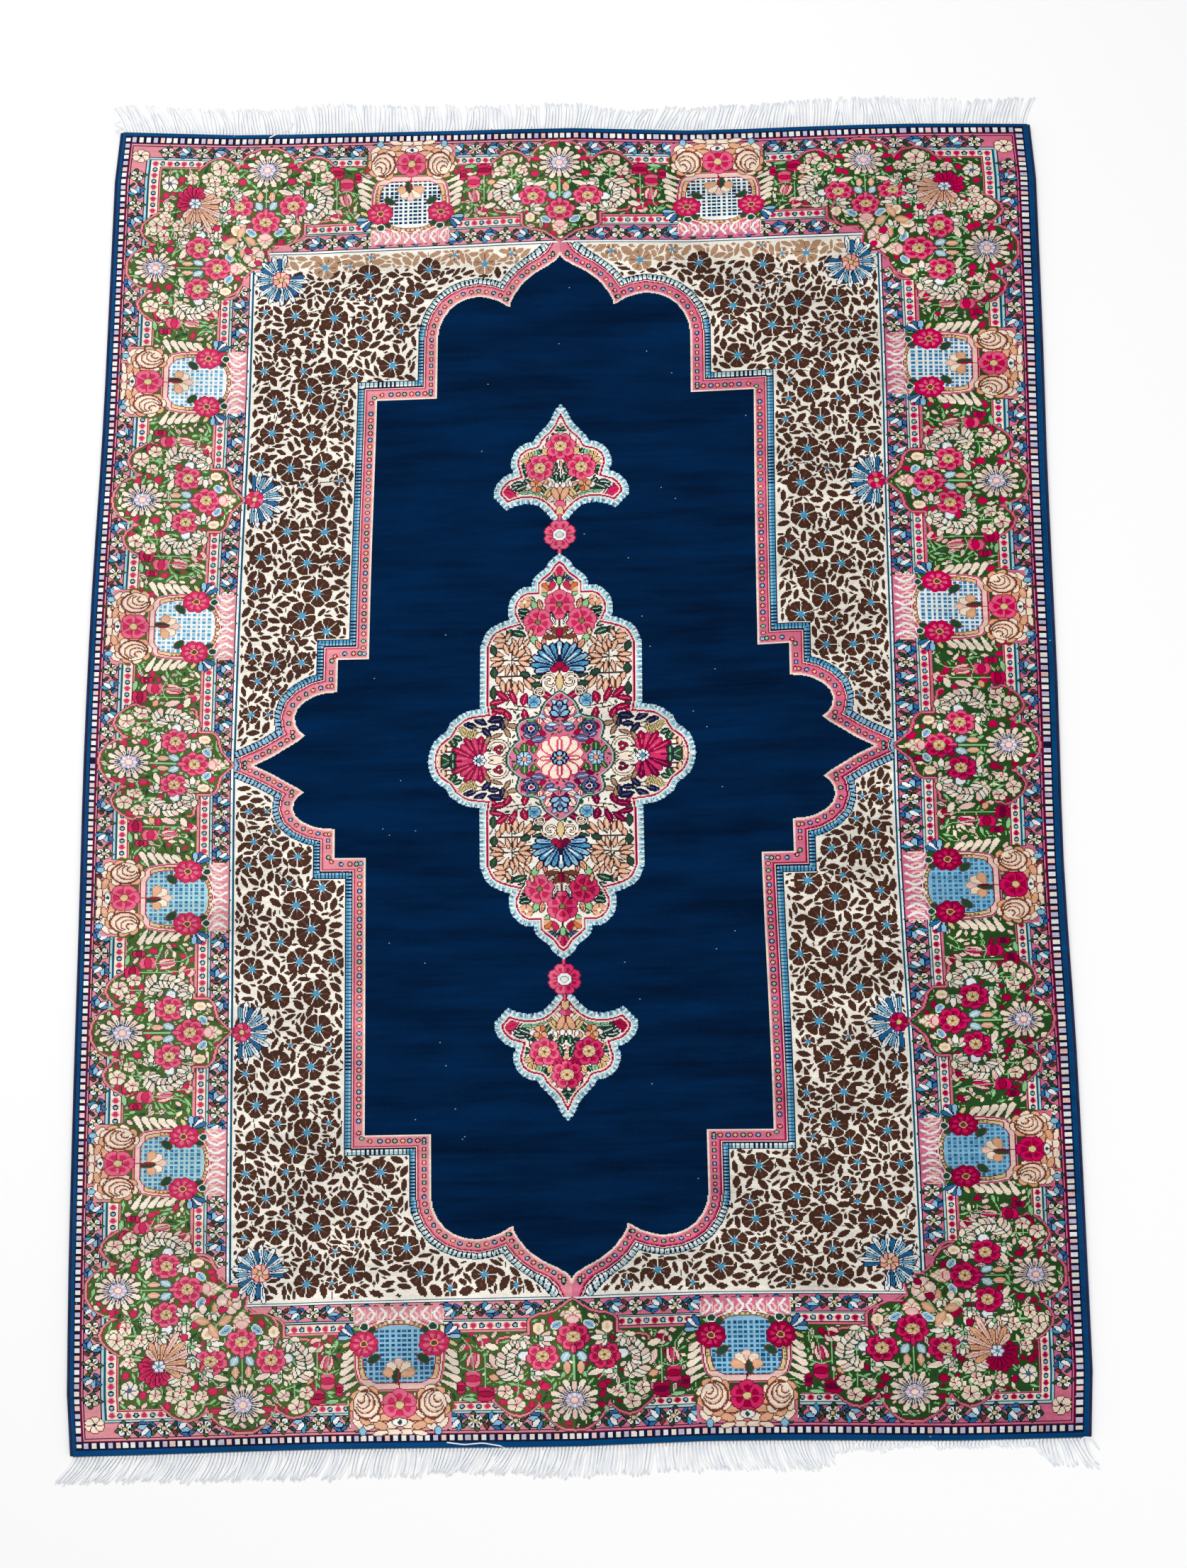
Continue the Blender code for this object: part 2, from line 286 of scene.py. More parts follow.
PEACH_LEAVES = (
    (110, 171, 20, 17, 8), (107, 163, 5, 20, 7), (106, 155, 0, 19, 8), (112, 143, 20, 19, 6.5),
    (113, 135, 0, 19, 6), (112, 127, 160, 19, 6.5), (107, 119, 140, 15, 6.5), (98, 149, 70, 16, 6.5),
    (86, 158, 70, 14, 6), (77, 160, 110, 15, 6), (68, 158, 130, 13, 6), (90, 152, 100, 13, 6),
    (62, 172, 100, 12, 6), (96, 168, 120, 12, 6), (84, 148, 110, 16, 7), (76, 143, 140, 18, 8),
    (71, 134, 165, 18, 7), (70, 126, 20, 18, 7), (75, 118, 45, 16, 7), (85, 118, 80, 16, 6),
    (96, 118, 105, 16, 6.5), (109, 102, 60, 15, 8), (103, 93, 80, 18, 7.5), (95, 94, 95, 15, 6.5),
    (85, 89, 85, 19, 8), (76, 92, 70, 17, 6.5), (66, 95, 55, 19, 7), (61, 101, 30, 15, 6.5),
    (66, 145, 60, 14, 6),
)
DARK_LEAVES = (
    (117, 148, 70, 14, 9), (116, 114, 90, 14, 10), (117, 84, 90, 17, 9), (70, 110, 20, 13, 9),
    (53, 94, 0, 14, 8), (116, 62, 40, 13, 7), (50, 106, 10, 18, 5), (48, 112, 20, 14, 4),
)
CRIMSON_LEAVES = (
    (103, 79, 40, 21, 8.5), (112, 70, 170, 21, 7.5), (88, 77, 65, 20, 8.5), (71, 73, 105, 16, 11),
    (107, 57, 10, 22, 8.5), (96, 49, 60, 14, 10), (70, 49, 80, 16, 9), (38, 77, 30, 16, 9),
    (118, 52, 150, 13, 7),
)
LOBE_FAN = ((112, 30), (94, 36), (76, 34), (58, 40), (41, 36), (25, 44), (9, 38), (-6, 46))
LOBE_LEAVES = (
    ("ink", "ink", "slate", (
        (137, 43, 30, 21, 9), (113, 44, 170, 20, 10), (150, 36, 20, 16, 8), (103, 36, 80, 14, 8),
        (127, 26, 45, 15, 8), (116, 32, 0, 14, 7), (158, 40, 60, 10, 6),
    )),
    ("sand", "olive", "brown", (
        (160, 27, 60, 15, 9), (145, 25, 100, 14, 6), (152, 24, 60, 12, 6), (168, 32, 30, 12, 6),
    )),
    ("tan", "brown", None, (
        (88, 34, 10, 18, 7), (112, 20, 160, 16, 5), (125, 14, 120, 12, 6), (96, 24, 60, 14, 6),
        (98, 40, 90, 12, 5),
    )),
    ("leaf", "ink", "mint", (
        (176, 12, 60, 15, 10), (169, 18, 20, 12, 7), (187, -12, 30, 15, 12), (176, -10, 100, 14, 8),
        (180, 22, 120, 12, 6),
    )),
    ("peach", "umber", "cream", ((190, 3, 90, 13, 8), (196, -12, 100, 12, 6), (184, 10, 40, 10, 6))),
)
MEDALLION_STEMS = (
    ((19, 270), (19, 90)), ((70, 215), (55, 186), (70, 150), (90, 132)),
    ((90, 165), (90, 95), (80, 60)), ((60, 130), (120, 134)), ((70, 108), (110, 108)),
    ((100, 90), (85, 64), (60, 60)), ((96, 60), (70, 56)), ((130, 30), (150, 36)),
    ((110, 30), (138, 26), (160, 8)), ((120, -2), (190, -2)),
)
MIDDLE_EDGE = [
    (19, 82), (30, 74), (38, 67), (43, 58), (46, 48), (56, 43), (68, 42), (77, 38), (80, 30),
    (78, 20), (75, 13), (82, 7), (89, 0), (93, -8), (94, -16),
]
MIDDLE_LEAVES = (
    ("slate", "ink", "lilac", ((51, 13, 170, 22, 10), (66, 18, 30, 12, 6), (34, 28, 20, 14, 7))),
    ("green", "leaf", "mint", (
        (71, 0, 90, 16, 10), (57, -1, 80, 14, 9), (50, 30, 60, 14, 7), (60, 40, 10, 14, 5),
        (40, 60, 50, 12, 6), (82, -4, 60, 12, 6),
    )),
    ("cream", "crimson", "rose", ((35, 54, 60, 16, 11), (36, 40, 20, 14, 8), (48, 40, 90, 10, 6))),
    ("sky", "navy", "white", ((46, 47, 20, 14, 6), (30, 34, 0, 16, 5), (26, 66, 60, 12, 6))),
    ("crimson", "plum", None, (
        (62, 8, 30, 12, 6), (72, 30, 100, 10, 5), (44, 22, 60, 12, 6), (28, 46, 90, 12, 5),
    )),
)
PENDANT_LEAVES = (
    ("leaf", "ink", "mint", (
        (26, 487, 20, 16, 7), (12, 487, 160, 16, 7), (76, 424, 0, 13, 8), (30, 436, 60, 16, 6),
        (27, 424, 110, 18, 6), (34, 414, 40, 16, 6), (24, 408, 80, 16, 6), (52, 452, 60, 12, 6),
        (44, 392, 60, 16, 7),
    )),
    ("sand", "brown", "orange", (
        (70, 446, 70, 16, 7), (72, 437, 20, 15, 7), (66, 433, 120, 13, 6), (64, 449, 100, 12, 6),
        (42, 451, 60, 12, 8),
    )),
    ("mint", "leaf", "slate", (
        (58, 450, 80, 16, 7), (62, 387, 10, 16, 6), (74, 388, 5, 12, 5), (52, 385, 20, 10, 5),
    )),
    ("leaf", "ink", "white", (
        (84, 402, 170, 18, 7), (78, 396, 160, 22, 8), (68, 404, 40, 14, 7), (88, 396, 150, 12, 6),
    )),
    ("rose", "plum", "crimson", (
        (97, 388, 25, 24, 12), (101, 400, 60, 12, 6), (31, 437, 150, 20, 8), (36, 444, 120, 12, 6),
    )),
    ("white", "umber", None, ((66, 398, 60, 9, 7), (24, 398, 60, 10, 6), (34, 400, 100, 9, 5))),
)


class Chart:
    """A quarter of the design as a grid of knots.

    u runs out from the rug's middle line and v up from its centre. Motifs are drawn in local
    measures, a and b, from the place that at() sets, and only on the knots of within.
    """

    def __init__(self, quarter):
        self.stands_for, self.side_lattice, self.end_lattice, self.seed = QUARTERS[quarter]
        self.is_far = quarter.startswith("far")
        self.u_step = (U_EDGE - U_MIDDLE) / HALF_COLUMNS
        self.v_step = (V_EDGE - V_MIDDLE) / HALF_ROWS
        self.us = U_MIDDLE + (np.arange(HALF_COLUMNS) + 0.5) * self.u_step
        self.vs = V_MIDDLE + (np.arange(HALF_ROWS) + 0.5) * self.v_step
        self.cells = np.zeros((HALF_ROWS, HALF_COLUMNS), np.uint8)
        self.within = None
        self.at()

    def at(self, u=0.0, v=0.0, upright=True, scale=(1.0, 1.0, 1.0)):
        """Sets the local place. a runs across and b up, or the other way round.

        scale is that of a, of b below zero and of b above it.
        """
        self.place = (u, v)
        self.upright = upright
        self.scale = scale

    def wool(self, name):
        """The number of the wool that this quarter uses for a named one."""
        return WOOL[self.stands_for.get(name, name)]

    def out(self, points):
        """Local points as chart points."""
        points = np.atleast_2d(np.asarray(points, float))
        a = points[:, 0] * self.scale[0]
        b = points[:, 1] * np.where(points[:, 1] > 0, self.scale[2], self.scale[1])
        u, v = (a, b) if self.upright else (b, a)
        return np.stack((self.place[0] + u, self.place[1] + v), 1)

    def window(self, points, pad):
        """The rows and columns around some points, with their v and u."""
        low, high = points.min(0) - pad, points.max(0) + pad
        columns = slice(*np.searchsorted(self.us, (low[0], high[0])))
        rows = slice(*np.searchsorted(self.vs, (low[1], high[1])))
        return rows, columns, self.us[columns][None, :], self.vs[rows][:, None]

    def inside(self, points, pad=9.0):
        """The knots that a closed outline holds, within a window."""
        rows, columns, u, v = self.window(points, pad)
        hit = np.zeros((v.shape[0], u.shape[1]), bool)
        for (u0, v0), (u1, v1) in zip(points, np.roll(points, -1, 0)):
            if v0 != v1:
                hit ^= ((v0 > v) != (v1 > v)) & (u < u0 + (v - v0) * (u1 - u0) / (v1 - v0))
        return rows, columns, hit

    def knot(self, rows, columns, hit, wool):
        """Puts a wool on the hit knots of a window, as far as they may be painted."""
        if self.within is not None:
            hit = hit & self.within[rows, columns]
        self.cells[rows, columns][hit] = self.wool(wool)

    def shape(self, points, fill, *rings):
        """Fills a closed outline, with rings of other wools around it, each one knot wide."""
        rows, columns, hit = self.inside(self.out(points))
        if hit.size == 0:
            return
        layers = [(hit, fill)]
        for ring in filter(None, rings):
            layers.append((grown(layers[-1][0]), ring))
        for layer, wool in reversed(layers):
            self.knot(rows, columns, layer, wool)

    def stroke(self, points, wool, width=1.5):
        """Draws a line of some width in millimetres."""
        points = self.out(points)
        for start, end in zip(points, points[1:]):
            rows, columns, u, v = self.window(np.stack((start, end)), width / 2 + 1)
            self.knot(rows, columns, segment_distance(u, v, start, end) <= width / 2, wool)

    def along(self, points, reach):
        """For every knot near an outline: how far it is from it, and how far along it that is.

        The band that follows is mitred at the outline's square corners and at its two ends.
        """
        nearest = np.full(self.cells.shape, FAR_AWAY)
        place = np.zeros(self.cells.shape)
        travelled = 0.0
        steps = np.diff(points, axis=0)
        turns = np.abs(np.diff(np.unwrap(np.arctan2(steps[:, 1], steps[:, 0]))))
        square = [True, *(np.abs(turns - math.pi / 2) < 0.3), True]
        for index, (start, step) in enumerate(zip(points, steps)):
            length = math.hypot(*step)
            rows, columns, u, v = self.window(np.stack((start, start + step)), reach)
            du, dv = u - start[0], v - start[1]
            ahead = (du * step[0] + dv * step[1]) / length
            aside = np.abs(du * step[1] - dv * step[0]) / length
            over = np.maximum(np.maximum(-ahead, ahead - length), 0.0)
            distance = np.hypot(aside, over)
            for at_end, past in ((index, -ahead), (index + 1, ahead - length)):
                if square[at_end]:
                    mitred = (past > 0) & (past <= aside + 0.01)
                    distance = np.where(mitred, aside, distance)
            closer = distance < nearest[rows, columns]
            nearest[rows, columns][closer] = distance[closer]
            place[rows, columns][closer] = (travelled + ahead)[closer]
            travelled += length
        return nearest, place

    def held(self, points):
        """The knots inside an outline, over the whole chart."""
        rows, columns, hit = self.inside(np.asarray(points, float))
        whole = np.zeros(self.cells.shape, bool)
        whole[rows, columns] = hit
        return whole

    def bare(self, name):
        """The knots that still show one wool."""
        return self.cells == self.wool(name)


def segment_distance(u, v, start, end):
    """How far places are from a straight piece."""
    du, dv = end[0] - start[0], end[1] - start[1]
    square = max(du * du + dv * dv, 1e-9)
    share = np.clip(((u - start[0]) * du + (v - start[1]) * dv) / square, 0.0, 1.0)
    return np.hypot(u - start[0] - share * du, v - start[1] - share * dv)


def grown(hit):
    """A patch of knots with the four neighbours of each."""
    wide = hit.copy()
    wide[1:] |= hit[:-1]
    wide[:-1] |= hit[1:]
    wide[:, 1:] |= hit[:, :-1]
    wide[:, :-1] |= hit[:, 1:]
    return wide


def spot_at(a, b, turn, reach_a, reach_b=None):
    """The place at some reach from another, at a turn in degrees."""
    run = math.radians(turn)
    reach_b = reach_a if reach_b is None else reach_b
    return a + reach_a * math.cos(run), b + reach_b * math.sin(run)


def mirrored(points, side):
    """Points as they are for side 1, and on the other side of the middle for side -1."""
    return [(side * a, b) for a, b in points]


def turned(points, a, b, turn):
    """Points about zero, turned by some degrees and moved."""
    run = math.radians(turn)
    x, y = points[:, 0], points[:, 1]
    turned_a = a + x * math.cos(run) - y * math.sin(run)
    turned_b = b + x * math.sin(run) + y * math.cos(run)
    return np.stack((turned_a, turned_b), 1)


def oval(a, b, half_long, half_wide, turn=0.0, point=0.0, count=18):
    """An oval, drawn to points at its two ends as point grows."""
    t = np.linspace(0, 2 * math.pi, count, endpoint=False)
    across = half_wide * np.sin(t) * np.abs(np.sin(t)) ** point
    return turned(np.stack((half_long * np.cos(t), across), 1), a, b, turn)


def petal(a, b, turn, near, far, width, shoulder=0.62):
    """A petal that starts near a flower's middle and swells to a round end."""
    rise = np.linspace(0, 1, 4)
    cap = np.linspace(0, math.pi / 2, 5)[1:]
    share = np.concatenate((rise * shoulder, shoulder + (1 - shoulder) * np.sin(cap)))
    half = np.concatenate((0.18 + 0.82 * rise**0.8, np.cos(cap))) * width / 2
    out = near + share * (far - near)
    there_and_back = np.concatenate((out, out[::-1]))
    both_sides = np.concatenate((half, -half[::-1]))
    return turned(np.stack((there_and_back, both_sides), 1), a, b, turn)


def ray(a, b, turn, near, far):
    """A straight line out from a middle."""
    return [spot_at(a, b, turn, near), spot_at(a, b, turn, far)]


def curl(a, b, half_a, half_b, lean, reach, turns):
    """Points along a turn around a place, pushed out by lean. half_a below zero curls the other way."""
    across = a + half_a * (reach * np.cos(turns) + lean)
    return np.stack((across, b + half_b * (reach * np.sin(turns) - lean)), 1)


def clipped_square(u, v, half_u, half_v):
    """A small square with its corners cut off by a millimetre."""
    return [
        (u - half_u, v - half_v + 1), (u - half_u + 1, v - half_v),
        (u + half_u - 1, v - half_v), (u + half_u, v - half_v + 1),
        (u + half_u, v + half_v - 1), (u + half_u - 1, v + half_v),
        (u - half_u + 1, v + half_v), (u - half_u, v + half_v - 1),
    ]


def leaf(chart, a, b, length, width, turn, fill, line=None, vein=None):
    """A pointed leaf, with a slit along it."""
    chart.shape(oval(a, b, length / 2, width / 2, turn, 0.6), fill, line)
    if vein:
        chart.stroke(ray(a, b, turn, -0.3 * length, 0.3 * length), vein, 1.3)


def leaves(chart, fill, line, vein, rows):
    """Leaves of one kind, each at its u, v, turn, length and width."""
    for u, v, turn, length, width in rows:
        leaf(chart, u, v, length, width, turn, fill, line, vein)


def double_leaves(chart, fill, line, vein, rows):
    """Leaves of one kind, each laid on a larger dark one: u, v, turn, length and width."""
    dark = "brown" if line == "umber" else line
    for u, v, turn, length, width in rows:
        leaf(chart, u, v, 1.12 * length + 3.0, width + 2.6, turn, dark)
        leaf(chart, u, v, 1.12 * length - 0.6, width - 1.2, turn, fill, None, vein)


def acanthus(chart, middle, length, wools, line="leaf"):
    """A ragged leaf: pointed side leaves by turns along a bent middle line."""
    middle = np.array(middle, float)
    steps = 3 * (len(middle) - 1)
    for step in range(steps + 1):
        place = step / steps * (len(middle) - 1)
        index = min(int(place), len(middle) - 2)
        run = middle[index + 1] - middle[index]
        a, b = middle[index] + run * (place - index)
        ahead = math.degrees(math.atan2(run[1], run[0]))
        share = 1.0 - 0.45 * step / steps
        for side in (-1, 1):
            wool = wools[(step + side) % len(wools)]
            chart.shape(petal(a, b, ahead + side * 52, 0, length * share, 7.5, 0.6), wool, line)
    chart.stroke(middle, line, 1.3)


def scatter(chart, allowed, lengths, tries, kinds, number):
    """Fills what is still bare of some ground with small leaves, the longest first.

    Each kind is a fill, a line, a vein and how slim the leaf is.
    """
    chance = random.Random(number * 10 + chart.seed)
    free = allowed.copy()
    for length in lengths:
        rows, columns = np.nonzero(free)
        if len(rows) == 0:
            break
        for _ in range(tries):
            pick = chance.randrange(len(rows))
            u = chart.us[columns[pick]]
            v = chart.vs[rows[pick]]
            turn = chance.uniform(0, 180)
            fill, line, vein, slim = kinds[chance.randrange(len(kinds))]
            run = (math.cos(math.radians(turn)), math.sin(math.radians(turn)))
            clear = True
            for along, aside in ((0, 0), (0.5, 0), (-0.5, 0), (0, 0.5 * slim), (0, -0.5 * slim)):
                shift_u = length * (along * run[0] - aside * run[1])
                shift_v = length * (along * run[1] + aside * run[0])
                column = int((u + shift_u - U_MIDDLE) / chart.u_step)
                row = int((v + shift_v - V_MIDDLE) / chart.v_step)
                inside = 0 <= row < HALF_ROWS and 0 <= column < HALF_COLUMNS
                clear = clear and inside and free[row, column]
            if not clear:
                continue
            near = chart.window(np.array(((u, v),)), length)[:2]
            before = chart.cells[near].copy()
            chart.within = allowed
            leaf(chart, u, v, length, length * slim, turn, fill, line, vein)
            if length > 9:
                bend = chance.choice((-1, 1)) * 0.4
                tip = (u + run[0] * length * 0.5, v + run[1] * length * 0.5)
                end = (tip[0] + (run[0] - bend * run[1]) * 6, tip[1] + (run[1] + bend * run[0]) * 6)
                chart.within = free
                chart.stroke([tip, end], line or fill, 1.3)
            free[near] &= ~grown(chart.cells[near] != before)
    chart.within = None


def flower(
    chart, a, b, radius, petals, fill, line, heart,
    heart_line=None, turn=90.0, core=None, heart_share=0.28,
):
    """A round flower of separate petals, with a heart in the middle."""
    width = 2 * radius * math.sin(math.pi / petals) * 0.92
    for number in range(petals):
        angle = turn + 360.0 * number / petals
        chart.shape(petal(a, b, angle, radius * 0.12, radius, width), fill, line)
        if core:
            chart.shape(petal(a, b, angle, radius * 0.3, radius * 0.74, width * 0.5), core)
    chart.shape(oval(a, b, radius * heart_share, radius * heart_share), heart, heart_line)


def rose(chart, a, b, half_a, half_b):
    """A full-blown rose: round outer petals, darker folds and a pale open middle."""
    petals = 7
    for number in range(petals):
        turn = 12 + 360 * number / petals
        spot = spot_at(a, b, turn, 0.64 * half_a, 0.64 * half_b)
        chart.shape(oval(*spot, half_a * 0.37, half_b * 0.37), "pink", "crimson")
        chart.shape(oval(*spot, half_a * 0.2, half_b * 0.16, turn + 90), "rose")
    chart.shape(oval(a, b, half_a * 0.44, half_b * 0.42), "blush", "crimson")
    for number in range(5):
        spot = spot_at(a, b, 72 * number, 0.24 * half_a, 0.24 * half_b)
        chart.shape(oval(*spot, half_a * 0.15, half_b * 0.13), "sand", "tan")
    chart.shape(oval(a, b, half_a * 0.09, half_b * 0.09), "umber")


def daisy(chart):
    """The large pale daisy of the main border, its slim petals apart."""
    for number in range(16):
        angle = 90 + 22.5 * number
        reach, width, wool = (31.0, 7.4, "cream") if number % 2 else (31.0 * 0.86, 6.4, "blush")
        chart.shape(petal(0, 0, angle, 8, reach, width, 0.8), wool, "leaf")
        chart.stroke(ray(0, 0, angle, 11, 20), "slate", 1.5)
    chart.shape(oval(0, 0, 11, 11), "lilac", "slate")
    for number in range(8):
        chart.stroke(ray(0, 0, 45 * number, 6, 11), "white", 1.6)
    chart.shape(oval(0, 0, 4.6, 4.6), "cream", "pink")


def blossom(chart, a, b, radius, turn=90.0):
    """A small cream blossom with pink marks and a crimson heart."""
    for number in range(5):
        wool = "blush" if number == 2 else "cream"
        angle = turn + 72 * number
        chart.shape(petal(a, b, angle, radius * 0.1, radius, radius * 0.92), wool, "green")
    for number in range(5):
        wool = "salmon" if number == 2 else "blush"
        chart.stroke(ray(a, b, turn + 72 * number, radius * 0.25, radius * 0.6), wool, 1.5)
    chart.shape(oval(a, b, radius * 0.17, radius * 0.17), "crimson")


def pale_flower(chart, a, b, half_a, half_b, turn=0.0):
    """A white lily seen from the side: a fan of five pointed petals with dark lines between."""
    foot = spot_at(a, b, turn + 90, -half_b * 0.7)
    for shift, reach in ((-78, 1.35), (78, 1.35), (-40, 1.7), (40, 1.7), (0, 1.9)):
        wool = "blush" if abs(shift) == 40 else "ivory"
        middle = reach * half_b * 0.5
        spot = spot_at(*foot, turn + 90 + shift, middle)
        chart.shape(oval(*spot, middle * 1.05, half_a * 0.29, turn + 90 + shift, 0.5), wool, "leaf")
    chart.shape(oval(*foot, 2.4, 2.4), "mint", "leaf")


def tulip(chart, a, b, length, width, turn, fill, dark, line):
    """A closed three-petalled bud that opens along turn."""
    for side in (-1, 1):
        spot = spot_at(a, b, turn + 90, side * width * 0.28)
        chart.shape(oval(*spot, length / 2, width * 0.26, turn + side * 9, 0.35), fill, line)
    chart.shape(oval(a, b, length / 2, width * 0.2, turn, 0.35), dark, line)


def paint_bands(chart):
    """The straight bands of the border, mitred at the corner."""
    u, v = np.meshgrid(chart.us, chart.vs)
    for from_u, from_v, wool in BANDS:
        chart.cells[(u <= from_u) & (v <= from_v)] = chart.wool(wool)


def paint_rows(chart):
    """The small squares and dots that run around the border, one row on each side of the corner."""
    for at_u, at_v, pitch_u, pitch_v, kind in (
        (709.8, 972.2, 10.9, 9.9, "square"),
        (661.8, 933.0, 11.4, 9.7, "dot"),
        (542.0, 822.6, 11.4, 9.7, "dot"),
    ):
        count_u = int((at_u - U_MIDDLE) / pitch_u)
        count_v = int((at_v - V_MIDDLE) / pitch_v)
        places = [(at_u, at_v - number * pitch_v, number) for number in range(count_v + 1)]
        places += [(at_u - number * pitch_u, at_v, number) for number in range(1, count_u + 1)]
        for u, v, number in places:
            if kind == "square":
                half_u, half_v = (4.4, 3.1) if u == at_u else (3.3, 4.3)
                wool = SQUARE_WOOLS[number % len(SQUARE_WOOLS)]
                chart.shape(clipped_square(u, v, half_u, half_v), wool)
            elif number % 2:
                chart.shape(oval(u, v, 4.2, 4.0), "ink")
                chart.shape(oval(u, v, 2.2, 2.2), "sky")
            else:
                chart.shape(oval(u, v, 3.6, 3.5), "rose", "salmon")


def small_flower(chart):
    """A pale four-petalled flower between four green leaves."""
    for turn in (0, 90, 180, 270):
        chart.shape(petal(0, 0, turn + 10, 5, 13, 4.8), "green", "ink")
    for turn, wool in ((45, "white"), (135, "cream"), (225, "white"), (315, "blush")):
        chart.shape(petal(0, 0, turn, 1.5, 9.5, 7.6, 0.7), wool, "ink")
        chart.stroke(ray(0, 0, turn, 4, 7.5), "leaf", 1.3)
    chart.shape(oval(0, 0, 2.6, 2.6), "sand", "leaf")


def small_tulip(chart, side):
    """A blue and white tulip on its side between small leaves."""
    for at_a, at_b, turn, wool in (
        (-11, 5, 50, "green"), (11, -6, 50, "umber"), (-10, -6, -40, "blue"), (10, 6, -40, "leaf"),
    ):
        leaf(chart, at_a, side * at_b, 9, 4, side * turn, wool, "ink")
    for shift, wool in ((-62, "blue"), (62, "azure"), (-24, "sky"), (26, "white")):
        turn = shift + (22 if side > 0 else 202)
        spot = spot_at(-5.5 * side, -2.0 * side, turn, 6.8)
        chart.shape(oval(*spot, 7.4, 2.9, turn, 0.4), wool, "navy")
    chart.shape(oval(-7 * side, -3 * side, 2.4, 2.4), "leaf", "ink")


def paint_small_borders(chart):
    """Pale four-petalled flowers and blue tulips by turns along both pink borders."""
    for at_u, at_v, start_u, start_v, pitch_u, pitch_v in (
        (688.5, 952.0, 644, 912, 27.2, 24.5),
        (517.0, 801.0, 432.2, 725, 27.2, 22.0),
    ):
        across = range(int((start_u - 10) / pitch_u) + 1)
        upwards = range(int((start_v + 20) / pitch_v) + 1)
        spots = [(start_u - number * pitch_u, at_v, True, number) for number in across]
        spots += [(at_u, start_v - number * pitch_v, False, number) for number in upwards]
        for u, v, upright, number in spots:
            chart.at(u, v, upright, SMALL_ALONG_END if upright else ALONG_SIDE)
            if number % 2 == 0:
                small_flower(chart)
            else:
                small_tulip(chart, 1 if number % 4 < 2 else -1)
        chart.at()
    chart.shape([(677, 932), (698, 932), (698, 961), (677, 961)], "salmon")
    chart.at(686, 945, True, SMALL_ALONG_END)
    flower(chart, 0, 0, 12, 6, "cream", "umber", "ink", None, 30.0, None, 0.2)
    chart.at()


def unit_outline():
    """The outline of a unit's ground, both halves."""
    outer = list(UNIT_OUTER) + [(-a, b) for a, b in UNIT_OUTER[-2::-1]]
    inner = list(UNIT_INNER) + [(-a, b) for a, b in UNIT_INNER[-2::-1]]
    return outer + [(93, -12), (90, -84)] + inner + [(-90, -84), (-93, -12)]


def paint_unit_ground(chart):
    """The unit's green, ringed in pink where it meets the borders and open towards its neighbours."""
    chart.shape(unit_outline(), "green", "crimson", "salmon", "salmon", "umber")
    for side in (-1, 1):
        chart.shape([(side * 84, -20), (side * 103, -20), (side * 103, -79), (side * 84, -79)], "green")


def paint_unit(chart):
    """A daisy over three roses, with blossoms, leaves and fern sprays on green."""
    for side in (-1, 1):
        for points in UNIT_STEMS:
            chart.stroke(mirrored(points, side), "mint", 1.7)
        leaf(chart, side * 33, 8, 14, 8, side * 20, "rose", "crimson")
        chart.shape(oval(side * 35, -20, 5, 5), "rose", "crimson")
        leaf(chart, side * 25, 27, 10, 6, -side * 40, "cream", "leaf")
        leaf(chart, side * 39, 14, 9, 5, side * 70, "mint")
        blossom(chart, side * 71, 5, 11.5, 90 + side * 20)
        blossom(chart, side * 54, -11, 8.5, 60)
        blossom(chart, side * 84, -14, 9.5, 100)
        blossom(chart, side * 70, -37, 9.5, 80)
        pale_flower(chart, side * 45, -38, 11, 8, side * 90)
        leaf(chart, side * 27, -38, 22, 8, -side * 18, "cream", "leaf", "blush")
        leaf(chart, side * 12, -37, 12, 5, side * 60, "mint")
        leaf(chart, side * 8.5, -45, 17, 9, 90, "peach", "leaf", "blush")
        fern = mirrored(((70, -34), (84, -46), (82, -64), (68, -80)), side)
        acanthus(chart, fern, 17, ("blush", "cream", "ivory"))
        chart.shape(oval(side * 60, -62, 7, 6), "white", "slate")
        pale_flower(chart, side * 62, -80, 11, 8, side * 20)
        leaf(chart, side * 70, -88, 14, 7, side * 10, "cream", "leaf")
    for side in (-1, 1):
        rose(chart, side * 38, -61, 19.5, 19)
        leaf(chart, side * 10, -60, 15, 10, side * 60, "mist", "slate", "white")
        pale_flower(chart, side * 33, -85, 12, 9, side * 90)
        leaf(chart, side * 20, -103, 15, 9, side * 35, "sky", "white", "slate")
        chart.shape(oval(side * 42, -99, 7, 8), "cream", "umber")
        leaf(chart, side * 42, -99, 9, 5, 90, "sand")
    rose(chart, 0, -87, 20.5, 18.5)
    leaf(chart, 0, -70, 6, 12, 0, "pink", "crimson")
    for turn, reach in ((-90, 17), (-55, 13), (-125, 13), (-25, 11), (-155, 11)):
        chart.shape(petal(0, -111, turn, 2, reach, 8), "cream", "tan")
    chart.shape(oval(0, -110, 8, 5), "blush", "pink")
    daisy(chart)


